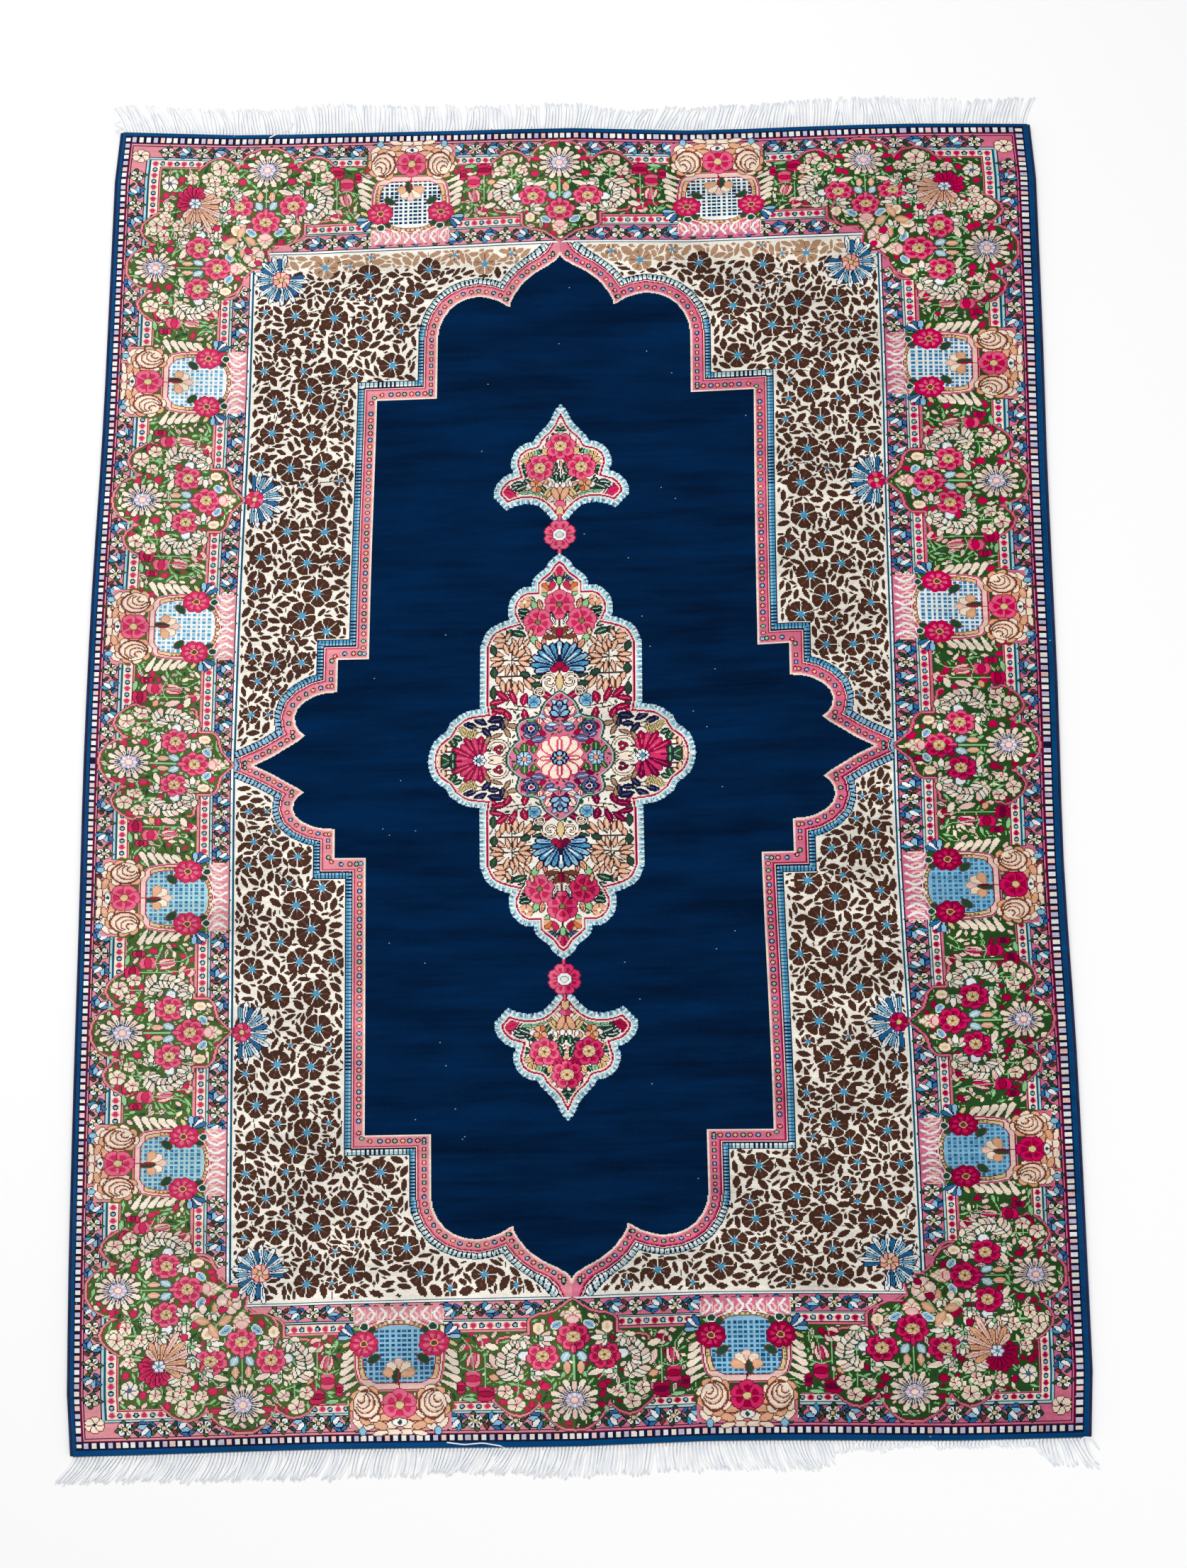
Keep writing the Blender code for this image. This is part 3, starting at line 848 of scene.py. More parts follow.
def scroll_ball(chart, a, b, half_a, half_b, side):
    """A ball of curling acanthus: sweeping cream and peach strips with brown lines."""
    for number in range(9):
        turn = 40 * number
        wool = "cream" if number % 2 else "peach"
        spot = spot_at(a, b, turn, 0.78 * half_a, 0.78 * half_b)
        chart.shape(oval(*spot, half_a * 0.34, half_b * 0.19, turn + 66 * side, 0.3), wool, "umber")
    chart.shape(oval(a, b, half_a * 0.76, half_b * 0.76), "cream", "umber")
    for number in range(4):
        turns = np.linspace(0.1 * math.pi, (1.65 - 0.12 * number) * math.pi, 16)
        lean = 0.1 * number
        reach = 0.72 - 0.17 * number
        wool = "peach" if number % 2 else "blush"
        chart.stroke(curl(a, b, side * half_a, half_b, lean, reach, turns), "umber", 2.0)
        chart.stroke(curl(a, b, side * half_a, half_b, lean, reach - 0.08, turns[2:-4]), wool, 1.6)


def paint_cartouche_ground(chart):
    """What lies behind the window: green, the outer scrolls, finger leaves, blue tips and the panel."""
    chart.shape(CARTOUCHE_COVER + mirrored(CARTOUCHE_COVER[::-1], -1), "green")
    chart.shape([(-62, 80), (62, 80), (62, 58), (-62, 58)], "salmon")
    for side in (-1, 1):
        for a, b, half_a, half_b, turn in OUTER_SCROLLS:
            wool = "peach" if a % 2 else "cream"
            chart.shape(oval(side * a, b, half_a, half_b, side * turn), wool, "umber")
        chart.shape(oval(side * 46, 82, 4.0, 4.5), "sky", "teal")
        for step in range(5):
            turn = 24 + 5 * step
            b = 18 - 12.5 * step
            long_turn = turn if side > 0 else 180 - turn
            short_turn = turn - 14 if side > 0 else 194 - turn
            chart.shape(petal(side * 50, b, long_turn, 0, 29, 8.5, 0.8), "cream", "leaf")
            chart.shape(petal(side * 56, b - 6, short_turn, 0, 17, 5), "sand", "leaf")
        for turn, wool in ((200, "blue"), (220, "white"), (240, "blue"), (180, "sky")):
            chart.shape(petal(side * 54, -42, turn if side < 0 else 180 - turn, 4, 22, 6), wool, "ink")
    chart.shape([(-54, -59), (54, -59), (54, -86), (-54, -86)], "salmon")


def paint_window(chart, lattice):
    """The window's rings, its beads and its lattice. Returns the knots inside it."""
    ground, *squares = lattice
    window = WINDOW_HALF + mirrored(WINDOW_HALF[-2::-1], -1)
    chart.shape([(a * 1.22, (b + 19) * 1.19 - 19) for a, b in window], "blush", "crimson", "salmon")
    ring = np.array([(a * 1.13, (b + 19) * 1.11 - 19) for a, b in window])
    chart.shape(ring[2:-2], "sand", "crimson")
    for index in range(3, len(ring) - 4):
        for share in (0.0, 0.33, 0.66):
            a, b = ring[index] + (ring[index + 1] - ring[index]) * share
            chart.shape(oval(a * 0.97, (b + 19) * 0.965 - 19, 1.7, 1.7), "olive")
    chart.shape(window, ground, "crimson")
    inner = chart.held(chart.out(window))
    chart.within = inner
    for column in range(-6, 7):
        for row in range(-8, 4):
            a = column * 6.8
            b = row * 6.6 + 2
            square = [(a - 2.3, b - 2.1), (a + 2.3, b - 2.1), (a + 2.3, b + 2.1), (a - 2.3, b + 2.1)]
            chart.shape(square, squares[(column + row) % 2])
    chart.within = None
    return inner


def paint_window_flowers(chart, inner):
    """The fans and leaves inside the window, the scroll balls and the rose over it."""
    chart.within = inner
    for turn, reach, wool in (
        (-90, 24, "blush"), (-55, 22, "cream"), (-125, 22, "cream"),
        (-20, 20, "peach"), (-160, 20, "peach"),
    ):
        chart.shape(petal(0, 12, turn, 2, reach, 11, 0.66), wool, "tan")
    for side in (-1, 1):
        chart.within = inner
        for turn in (196, 216, 236, 256):
            facing = turn if side < 0 else 180 - turn
            chart.shape(petal(side * 28, -22, facing, 2, 16, 5), "peach", "umber")
        chart.within = None
        leaf(chart, side * 30, -12, 17, 10, side * 35, "leaf", "umber")
        leaf(chart, side * 33, -52, 12, 8, side * 60, "leaf", "umber")
        scroll_ball(chart, side * 40, 49, 22, 26, side)
    leaf(chart, 3, 12, 20, 8, 84, "leaf", "umber")
    chart.stroke([(0, 30), (1, 6)], "crimson", 1.8)
    chart.shape(oval(0, 50, 17, 17), "crimson")
    flower(chart, 0, 50, 21.0, 6, "pink", "crimson", "sand", "umber", 90.0, "rose", 0.24)
    chart.shape(oval(0, 72, 9, 4), "white", "umber")
    leaf(chart, 0, 72, 6, 6, 90, "leaf")


def paint_cartouche(chart, lattice, tulips):
    """A latticed window under a rose and two scroll balls, with side flowers and a pink panel.

    lattice is its ground and two squares, and tulips how far from the middle the side flowers stand.
    """
    paint_cartouche_ground(chart)
    inner = paint_window(chart, lattice)
    for side in (-1, 1):
        for reach in (2, 15, 29, 43):
            for points, wool, width in PANEL_SCROLL:
                shifted = [(a + reach, b) for a, b in points]
                chart.stroke(mirrored(shifted, side), wool, width)
    paint_window_flowers(chart, inner)
    for side in (-1, 1):
        flower(chart, side * 43, -33, 18.0, 8, "rose", "crimson", "umber", "sand", 60.0, "pink", 0.2)
        chart.shape(oval(side * 42, -57, 5, 5), "leaf", "white")
        for at_a, at_b, *rest in SIDE_TULIPS:
            tulip(chart, side * (tulips + at_a), at_b, *rest)
        for points in SIDE_STEMS:
            shifted = [(a + tulips, b) for a, b in points]
            chart.stroke(mirrored(shifted, side), "mint", 1.4)
        leaf(chart, side * (tulips - 6), 44, 18, 6, side * 8, "mint", "leaf")
        leaf(chart, side * (tulips + 24), -6, 22, 10, side * 70, "blush", "leaf")
        leaf(chart, side * (tulips + 22), -26, 18, 9, side * 20, "cream", "leaf")
        leaf(chart, side * (tulips + 24), 16, 12, 8, side * 20, "peach", "umber")


def paint_corner(chart):
    """The green ground of the corner and its own inner outline."""
    chart.at()
    chart.shape(CORNER_INNER, "green", "crimson", "salmon", "salmon")
    chart.shape([(556, 700), (648, 716), (649, 922), (440, 922), (440, 835)], "green")


def paint_corner_flowers(chart):
    """The crimson and peach fans, blossoms and lilies on the corner's diagonal."""
    chart.at()
    for points in CORNER_STEMS:
        chart.stroke(points, "mint", 1.8)
    for turn, reach in CORNER_PEACH_FAN:
        wool = "peach" if turn % 4 else "blush"
        chart.shape(petal(594, 866, turn, 6, reach, 7.5, 0.72), wool, "umber")
        chart.stroke(ray(594, 866, turn, 14, reach * 0.8), "tan", 1.5)
    for turn, reach in CORNER_ROSE_FAN:
        chart.shape(petal(596, 869, turn, 6, reach, 8.5, 0.72), "rose", "plum")
        chart.stroke(ray(596, 869, turn, 10, reach * 0.8), "crimson", 1.8)
    for turn in range(0, 360, 60):
        chart.shape(petal(595, 868, turn, 1, 8.5, 5.5), "white", "slate")
    chart.shape(oval(595, 868, 2.2, 2.2), "azure")
    for u, v, radius in CORNER_BLOSSOMS:
        blossom(chart, u, v, radius)
    flower(chart, 636, 900, 13, 7, "cream", "leaf", "slate", None, 10, "white")
    for u, v in ((617, 907), (641, 880), (560, 828), (546, 812)):
        chart.shape(oval(u, v, 4.5, 4.5), "rose", "crimson")
    for u, v, turn in CORNER_LILIES:
        pale_flower(chart, u, v, 11, 7, turn)
    for u, v, turn in CORNER_LEAVES:
        leaf(chart, u, v, 20, 10, turn, "peach", "tan", "blush")
    flower(chart, 499, 782, 17, 6, "blush", "leaf", "sand", "crimson", 45, "cream", 0.2)
    for u, v in ((492, 772), (508, 792)):
        leaf(chart, u, v, 12, 8, 20, "rose", "crimson")
    leaf(chart, 535, 790, 12, 14, 0, "cream", "leaf")


def paint_palmette(chart, u, v, reach, facing, spread, heart):
    """A flower of the two heart wools in a fan of slim blue and white petals."""
    chart.at(u, v)
    count = int(spread / 13) + 1
    for number in range(count):
        turn = facing - spread / 2 + spread * number / (count - 1)
        wool = ("blue", "white", "sky", "white")[number % 4]
        out = reach * (1.0 if number % 2 else 0.84)
        chart.shape(petal(0, 0, turn, 9, out, 6.2, 0.75), wool, "navy")
        chart.stroke(ray(0, 0, turn, reach * 0.4, reach * 0.82), "teal", 1.5)
    for number in range(8):
        chart.shape(petal(0, 0, 45 * number + 20, 2, 13, 9), heart[number % 2], "crimson")
    chart.shape(oval(0, 0, 3.4, 3.4), "sand", "umber")
    chart.at()


def paint_field(chart):
    """The navy field and the bands that follow its outline. Returns the ivory ground's knots."""
    outline = np.array(FIELD, float)
    distance, place = chart.along(outline, 42.0)
    beyond = ((outline[-1][0], -40), (-20, -40), (-20, outline[0][1]))
    held = chart.held(np.concatenate((outline, beyond)))
    u, v = np.meshgrid(chart.us, chart.vs)
    outside = ~held & (u < 499) & (v < 786)
    cells = chart.cells
    for reach, wool in FIELD_BANDS:
        cells[outside & (distance <= reach)] = chart.wool(wool)
    ladder = outside & (distance > 21.8) & (distance <= 29.6)
    straight = (u > 300) & (v > 91) & (v < 560) | (u > 205) & (u < 245) & (v > 560) & (v < 660)
    cells[ladder & straight] = WOOL["azure"]
    cells[ladder & (distance < 25.0) & straight] = WOOL["sky"]
    cells[ladder & (distance >= 25.5) & ~straight] = WOOL["mist"]
    cells[ladder & ~straight & (u > 330)] = WOOL["sky"]
    rungs = (place % np.where(straight, 5.2, 6.5)) < np.where(straight, 1.6, 2.2)
    cells[ladder & rungs] = WOOL["ink"]
    cells[held] = WOOL["navy"]
    middle = np.abs(distance - 9.6) <= 2.8
    for index in range(int(place.max() / DOT_PITCH) + 1):
        near = outside & (np.abs(place - (index + 0.5) * DOT_PITCH) < 2.4) & middle
        if near.any():
            rows, columns = np.nonzero(near)
            spot = (chart.us[columns].mean(), chart.vs[rows].mean())
            chart.shape(oval(*spot, 3.9, 3.8), ("ink", "plum", "ink", "crimson")[index % 4])
            chart.shape(oval(*spot, 2.1, 2.1), ("mint", "peach", "sky", "sand")[index % 4])
    return outside & (distance > 32.0)


def paint_rim(chart, outline):
    """A pale scalloped edge, a crimson line and an ivory ground. Returns the ground's knots."""
    outline = np.array(outline, float)
    distance, place = chart.along(outline, 25.0)
    held = chart.held(np.concatenate((outline, ((-20, outline[-1][1]), (-20, outline[0][1])))))
    scallop = 1.6 * np.abs(np.sin(place / SCALLOP * math.pi))
    chart.cells[held & (distance > 1.6 - scallop)] = WOOL["mist"]
    # Marks across the scallops: from and to how far in, pitch, shift and length along, and wool
    for near, far, pitch, shift, length, wool in (
        (0.4, 7.4, SCALLOP, 0.0, 2.6, "white"),
        (0.0, 5.6, SCALLOP, 3.8, 1.5, "azure"),
        (1.2, 5.4, 2 * SCALLOP, 2.0, 1.6, "slate"),
        (3.2, 7.2, 3 * SCALLOP, 8.0, 1.8, "azure"),
    ):
        marked = (distance > near) & (distance < far) & ((place + shift) % pitch < length)
        chart.cells[held & marked] = WOOL[wool]
    for reach, wool in ((8.2, "white"), (9.8, "crimson"), (12.4, "blush"), (13.8, "ivory")):
        chart.cells[held & (distance > reach)] = WOOL[wool]
    return held & (distance > 14.5)


def brown_flower(chart, u, v, radius, wool, turn):
    """One brown flower with five broad petals and a light blue heart."""
    width = 2 * radius * math.sin(math.pi / 5) * 0.82
    for number in range(5):
        angle = turn + 72 * number
        chart.shape(petal(u, v, angle, radius * 0.2, radius, width, 0.66), wool, "ivory")
    for number in range(5):
        angle = turn + 72 * number
        chart.stroke(ray(u, v, angle, radius * 0.15, radius * 0.42), "azure", 1.4)
        chart.stroke(ray(u, v, angle, radius * 0.48, radius * 0.8), "umber", 1.3)
    chart.shape(oval(u, v, radius * 0.2 + 0.8, radius * 0.17 + 0.8), "azure")


def paint_brown_ground(chart, ground):
    """Brown flowers, leaves and stems scattered over the ivory ground."""
    chance = random.Random(chart.seed)
    u, v = np.meshgrid(chart.us, chart.vs)
    ground = ground & (u < 495) & (v < 782)
    chart.at()
    chart.within = ground
    for (u0, v0, _), (u1, v1, _) in zip(BROWN_FLOWERS, BROWN_FLOWERS[1:]):
        if math.hypot(u1 - u0, v1 - v0) < 75:
            bend = chance.uniform(-12, 12)
            middle = ((u0 + u1) / 2 + bend, (v0 + v1) / 2 - bend)
            chart.stroke([(u0, v0), middle, (u1, v1)], "brown", 1.5)
    for at_u, at_v, radius in BROWN_FLOWERS:
        wool = "tan" if at_v > 757 and chart.is_far else "brown"
        brown_flower(chart, at_u, at_v, radius, wool, chance.uniform(0, 72))
    free = ground & chart.bare("ivory")
    upper = (v > 757) & chart.is_far
    for part, wool, number in ((free & upper, "tan", 3), (free & ~upper, "brown", 4)):
        kinds = [(wool, "ivory", None, slim) for slim in (0.5, 0.42, 0.34)]
        scatter(chart, part, (21, 17.5, 14, 11, 8.5), 2400, kinds, number)


def paint_medallion_tip(chart):
    """The upper part: a bud, two roses and leaves."""
    double_leaves(chart, "leaf", "ink", "mint", ((30, 266, 72, 26, 8), (8, 266, 108, 26, 8)))
    chart.shape(oval(19, 267, 12, 7.5, 90), "pink", "crimson")
    leaf(chart, 19, 267, 17, 5, 90, "rose", "crimson")
    for kind in TIP_LEAVES:
        double_leaves(chart, *kind)
    for turn, wool in ((80, "peach"), (50, "orange"), (110, "rose"), (20, "peach")):
        chart.shape(petal(33, 233, turn, 3, 17, 8), wool, "umber")
    chart.shape(oval(19, 214, 20, 20), "plum")
    flower(chart, 19, 214, 22, 6, "pink", "crimson", "olive", "brown", 30, "rose", 0.16)
    flower(chart, 71, 220, 9.5, 4, "peach", "umber", "cream", None, 45, None, 0.3)
    for kind in ROSE_LEAVES:
        double_leaves(chart, *kind)
    chart.shape(oval(51, 188, 19, 19), "plum")
    flower(chart, 51, 188, 21, 6, "pink", "crimson", "olive", "brown", 12, "rose", 0.16)
    for side in (-1, 1):
        for turn, reach in ((60, 22), (30, 20), (0, 18), (-30, 16), (84, 24)):
            wool = "umber" if turn % 60 else "tan"
            chart.shape(petal(19, 163, 90 - side * turn, 3, reach, 6.5), wool, "brown")
    leaf(chart, 19, 172, 14, 7, 90, "crimson", "plum")
    double_leaves(chart, "white", "umber", "leaf", ((28, 190, 60, 12, 6), (34, 172, 40, 10, 5)))


def paint_medallion_fans(chart):
    """The leaf fans, the blue fan, the crimson sprays and the scrolls below them."""
    double_leaves(chart, "peach", "brown", "blush", PEACH_LEAVES)
    double_leaves(chart, "leaf", "ink", "green", DARK_LEAVES)
    for turn, reach, wool in (
        (90, 40, "sky"), (73, 38, "azure"), (57, 42, "sky"), (41, 40, "azure"), (25, 44, "sky"),
        (9, 42, "azure"), (-6, 36, "sky"),
    ):
        for angle in (turn, 180 - turn):
            chart.shape(petal(19, 118, angle, 10, reach, 6.6, 0.75), wool, "ink", "ink")
            mark = "white" if turn in (90, 41) else "blue"
            chart.stroke(ray(19, 118, angle, 16, reach * 0.8), mark, 1.8)
    for u, v, half in ((19, 122, 6.0), (11, 116, 5.0), (27, 116, 5.0)):
        chart.shape(oval(u, v, half, half * 0.8), "crimson", "plum")
    double_leaves(chart, "crimson", "plum", "pink", CRIMSON_LEAVES)
    flower(chart, 57, 69, 9, 4, "sky", "ink", "blue", None, 0, "azure", 0.3)
    turns = np.linspace(0, 2.6 * math.pi, 22)
    for side in (-1, 1):
        for shift, v, size in ((15, 98, 13), (29, 82, 9)):
            shrinking = size * (1 - 0.1 * turns)
            across = 19 + side * shift + side * shrinking * np.cos(turns)
            points = np.stack((across, v + shrinking * np.sin(turns)), 1)
            chart.stroke(points, "brown", 4.4)
            chart.stroke(points, "cream", 1.8)
    leaf(chart, 19, 97, 26, 9, 90, "sand", "umber", "olive")


def paint_medallion_lobe(chart):
    """The side lobe: a crimson fan around a pale flower, dark leaves and a cream scroll."""
    for number, (turn, reach) in enumerate(LOBE_FAN):
        wool = "crimson" if number % 2 else "cerise"
        chart.shape(petal(137, -16, turn, 8, reach, 8.0, 0.75), wool, "plum")
        chart.stroke(ray(137, -16, turn, 18, reach * 0.86), "pink", 1.4)
    for kind in LOBE_LEAVES:
        double_leaves(chart, *kind)
    scroll = curl(110, -1, 15, 14, 0.0, 1.0, np.linspace(0.2, 4.9, 20))
    chart.stroke(scroll, "brown", 5.2)
    chart.stroke(scroll, "cream", 2.6)
    for u, v, turn in ((106, 3, 60), (113, 1, 130), (108, -5, 10)):
        leaf(chart, u, v, 8, 4.5, turn, "crimson", "brown")
    leaf(chart, 112, -13, 24, 6, 4, "cream", "brown")
    flower(chart, 137, -16, 9, 8, "white", "ink", "azure", "ink", 0, None, 0.34)


def paint_middle_cartouche(chart):
    """The coral cartouche in the middle of the medallion, under a great cream rosette."""
    lower = [(u, 2 * V_MIDDLE - v) for u, v in MIDDLE_EDGE[-2::-1]]
    closed = MIDDLE_EDGE + lower + [(-30, -114), (-30, 82)]
    chart.shape(closed, "coral", "mist", "leaf", "leaf")
    inside = chart.held(closed)
    chart.within = inside
    for kind in MIDDLE_LEAVES:
        leaves(chart, *kind)
    flower(chart, 61, 29, 10.5, 6, "slate", "ink", "crimson", "white", 0, "navy", 0.3)
    flower(chart, 71, -16, 11.5, 8, "sky", "navy", "peach", "crimson", 22.5, "white", 0.26)
    chart.within = None
    for turn, reach in ((90, 24), (62, 19), (118, 19), (34, 15), (146, 15)):
        wool = "sky" if turn % 4 else "white"
        chart.shape(petal(19, 45, turn, 2, reach, 7, 0.6), wool, "ink", "ink")
    chart.stroke(ray(19, 45, 90, 4, 19), "slate", 1.8)
    kinds = (("crimson", None, None, 0.5), ("leaf", None, None, 0.45))
    scatter(chart, inside & chart.bare("coral"), (8, 6), 90, kinds, 5)
    for number in range(12):
        chart.shape(petal(19, -16, 15 + 30 * number, 5, 34, 16.5), "cream", "rose", "pink")
        chart.stroke(ray(19, -16, 15 + 30 * number, 12, 19), "peach", 2.4)
    for number in range(8):
        chart.shape(petal(19, -16, 45 * number, 2, 10.5, 6.2), "sky", "ink", "ink")
    chart.shape(oval(19, -16, 3, 3), "peach", "crimson")


def paint_medallion(chart):
    """The medallion's rim and its own flowers, from the tip down to the middle cartouche."""
    ground = paint_rim(chart, MEDALLION)
    chart.at()
    chart.within = ground
    for points in MEDALLION_STEMS:
        chart.stroke(points, "brown", 2.0)
    paint_medallion_tip(chart)
    paint_medallion_fans(chart)
    paint_medallion_lobe(chart)
    kinds = [(wool, None, None, slim) for wool, slim in (("brown", 0.3), ("leaf", 0.45), ("brown", 0.25))]
    scatter(chart, ground & chart.bare("ivory"), (9, 7.5), 160, kinds, 12)
    paint_middle_cartouche(chart)


def paint_link(chart):
    """The stalk and rosette between the pendant and the medallion."""
    chart.shape([(17, 352), (21, 352), (21, 292), (17, 292)], "pink", "crimson")
    chart.shape(oval(19, 321, 24, 20), "navy")
    for number in range(8):
        chart.shape(petal(19, 321, 22.5 + 45 * number, 7, 23, 14), "pink", "crimson")
        chart.shape(petal(19, 321, 22.5 + 45 * number, 10, 18, 6), "rose")
    chart.shape(oval(19, 321, 10, 9), "white", "crimson")
    chart.shape(oval(19, 321, 4.5, 4), "cream", "azure")


def paint_pendant(chart):
    """The pendant above the medallion, and the rosette that links them."""
    ground = paint_rim(chart, PENDANT)
    chart.at()
    chart.within = ground
    for kind in PENDANT_LEAVES:
        leaves(chart, *kind)
    for turn, wool in ((90, "orange"), (150, "peach"), (30, "peach"), (240, "orange"), (300, "peach")):
        chart.shape(petal(55, 398, turn, 2, 10, 7), wool, "umber")
    for side in (-1, 1):
        leaf(chart, 19 + side * 19, 385, 24, 9, 90 + side * 35, "sand", "umber", "brown")
        leaf(chart, 19 + side * 13, 378, 22, 6, 90 + side * 45, "cream", "umber", "olive")
        leaf(chart, 19 + side * 26, 377, 14, 5, 90 + side * 50, "tan", "brown")
    for turn in (90, 68, 112):
        chart.shape(petal(19, 368, turn, 4, 28, 9), "peach", "umber")
    chart.shape(oval(19, 369, 8, 5), "pink", "crimson")
    chart.within = None
    rose(chart, 50, 426, 21, 20)
    rose(chart, 19, 459, 22, 20)
    kinds = (("leaf", "ink", None, 0.5), ("peach", "umber", None, 0.5), ("brown", None, None, 0.35))
    scatter(chart, ground & chart.bare("ivory"), (9, 7, 5.5), 500, kinds, 9)
    chart.shape(oval(19, 357, 5, 8), "sand", "crimson")
    paint_link(chart)


def paint_quarter(name):
    """One quarter of the design, in that quarter's own wools."""
    chart = Chart(name)
    paint_bands(chart)
    paint_rows(chart)
    paint_small_borders(chart)
    paint_corner(chart)
    for place in UNIT_PLACES:
        chart.at(*place)
        paint_unit_ground(chart)
    paint_corner(chart)
    chart.at(256, 877, True, CARTOUCHE_ALONG_END)
    paint_cartouche(chart, chart.end_lattice, 91)
    for v in (577, 194):
        chart.at(601, v, False, ALONG_SIDE)
        paint_cartouche(chart, chart.side_lattice, 107)
    for place in UNIT_PLACES:
        chart.at(*place)
        paint_unit(chart)
    paint_corner_flowers(chart)
    chart.at()
    scatter(chart, chart.bare("green"), (11, 8.5, 6.5, 5), 1600, GREEN_LEAVES, 21)
    ground = paint_field(chart)
    paint_brown_ground(chart, ground)
    paint_palmette(chart, 455, 743, 42, 315, 285, ("blush", "peach"))
    paint_palmette(chart, 484, 391, 45, 180, 190, ("pink", "rose"))
    paint_pendant(chart)
    paint_medallion(chart)
    return chart.cells


def paint_rug():
    """The whole chart: rows from the near end, columns from the left."""
    far = np.concatenate((paint_quarter("far_left")[:, ::-1], paint_quarter("far_right")), 1)
    near = np.concatenate((paint_quarter("near_left")[:, ::-1], paint_quarter("near_right")), 1)
    return np.concatenate((near[::-1], far), 0)


# Where the design's guide lines run on the real rug, before its outline is put in.
# u of a line, its x on the left and on the right side at the stations along the rug
SIDE_STATIONS = (-985, -500, -16, 500, 985)
SIDE_GUIDES = (
    (19, (-6, -11, -17, -20, -25), (-6, -11, -17, -20, -25)),
    (302, (-302, -302, -302, -302, -302), (284, 283, 278, 276, 274)),
    (496, (-488, -492, -496.5, -496, -498), (488, 483, 476, 474, 468)),
    (504, (-497, -500, -504, -504, -505), (495, 489, 482, 480, 474)),
    (528, (-524, -526, -528, -529, -528), (523, 519, 515, 509, 500)),
    (541, (-536.5, -537, -540, -541, -540.5), (535, 530, 526, 519, 512)),
    (551, (-548, -549, -551, -551, -551), (546, 540, 537, 533, 530)),
    (651, (-650, -650, -652, -651, -651), (648, 647, 645, 641, 640)),
    (662, (-660, -661, -663, -662, -661), (658, 657, 654, 650, 649)),
    (677, (-676, -677, -677, -677, -677), (669, 668, 668, 668, 667)),
    (699, (-699, -699, -699, -699, -699), (693, 692, 692, 692, 692)),
    (705, (-705, -705, -705, -705, -705), (699, 698, 698, 697, 697)),
    (715.5, (-715, -715, -715.5, -716, -716), (712, 712, 712, 711, 711)),
    (720, (-719.7, -719.7, -719.7, -719.7, -719.7), (719.7, 719.7, 719.7, 719.7, 719.7)),
)
# v of a line, its y at the near and at the far end at the stations across the rug
END_STATIONS = (-720, -410, -100, 60, 330, 720)
END_GUIDES = (
    (-16, (-8, -20, -16.5, -14, -2, -5), (-8, -20, -16.5, -14, -2, -5)),
    (139, (-156, -157, -160, -160, -158, -156), (139, 139, 140, 145, 155, 150)),
    (541, (-554, -557, -556, -556, -558, -556), (541, 541, 546, 549, 556, 552)),
    (770, (-770, -770, -759, -757, -767, -770), (768, 769, 771, 775, 783, 784)),
    (784, (-785, -786, -783, -782, -782, -784), (780, 782, 790, 795, 798, 800)),
    (789, (-790, -790, -787, -786, -786, -788), (785, 788, 796, 799, 804, 806)),
    (814, (-813, -813, -812, -811, -811, -812), (811, 813, 822, 824, 830, 832)),
    (822, (-823, -823, -820, -818, -817.5, -820), (820, 822, 830, 831.5, 838, 840)),
    (829, (-829, -829, -827, -826, -826, -828), (828, 829, 837, 839, 845, 847)),
    (925, (-923, -923, -922, -921, -921, -921), (925, 925, 925, 925, 926, 926)),
    (934, (-933, -933, -930, -929, -927, -928), (934, 934, 934, 934, 935, 935)),
    (944, (-941, -940, -939, -939, -938, -938), (944, 944, 944, 944, 944, 945)),
    (962, (-961, -961, -961, -961, -960, -961), (961, 962, 962, 962, 962, 963)),
    (967, (-966, -966, -966, -966, -965, -966), (966, 967, 967, 967, 967, 968)),
    (977, (-975, -975, -975, -975, -975, -976), (977, 977, 977, 977, 977, 978)),
    (985, (-985, -985, -985, -985, -985, -985), (985, 985, 985, 985, 985, 985)),
)

PILE_HALF_WIDTH, PILE_HALF_LENGTH = 719.7, 985.0
PILE_HEIGHT = 10.0
# How far the rim is drawn in, and how far down
RIM_INSET = 1.4
RIM_DROP = 0.8
# Each face of the pile carries 8 by 6 knots, packed four to a number and three numbers to an attribute
KNOTS_ACROSS_FACE, KNOTS_ALONG_FACE = 8, 6
HALF_ACROSS, HALF_ALONG = HALF_COLUMNS // KNOTS_ACROSS_FACE, HALF_ROWS // KNOTS_ALONG_FACE
DIGITS = 4
ATTRIBUTES = 4
BASE = 32.0
WEAVE_MAP = "weave"


def between(table, stations, at_line, at_station):
    """Reads a table of guide lines at many places at once."""
    lines = np.array([row[0] for row in table], float)
    values = np.array([np.interp(at_station, stations, row[1]) for row in table])
    index = np.clip(np.searchsorted(lines, at_line) - 1, 0, len(lines) - 2)
    share = (at_line - lines[index]) / (lines[index + 1] - lines[index])
    picks = np.arange(len(at_line))
    return values[index, picks] * (1 - share) + values[index + 1, picks] * share


def cad_edges():
    """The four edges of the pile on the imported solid, in millimetres."""
    points = np.array([tuple(point.co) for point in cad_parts["rug"].data.vertices]) / MM
    low = np.unique(np.round(points[points[:, 2] < 0.1], 3), axis=0)
    reach = 30.0
    left = low[low[:, 0] < low[:, 0].min() + reach]
    right = low[low[:, 0] > low[:, 0].max() - reach]
    near = low[low[:, 1] < low[:, 1].min() + reach]
    far = low[low[:, 1] > low[:, 1].max() - reach]
    return {
        "left": left[np.argsort(left[:, 1])][:, 0],
        "right": right[np.argsort(right[:, 1])][:, 0],
        "near": near[np.argsort(near[:, 0])][:, 1],
        "far": far[np.argsort(far[:, 0])][:, 1],
    }


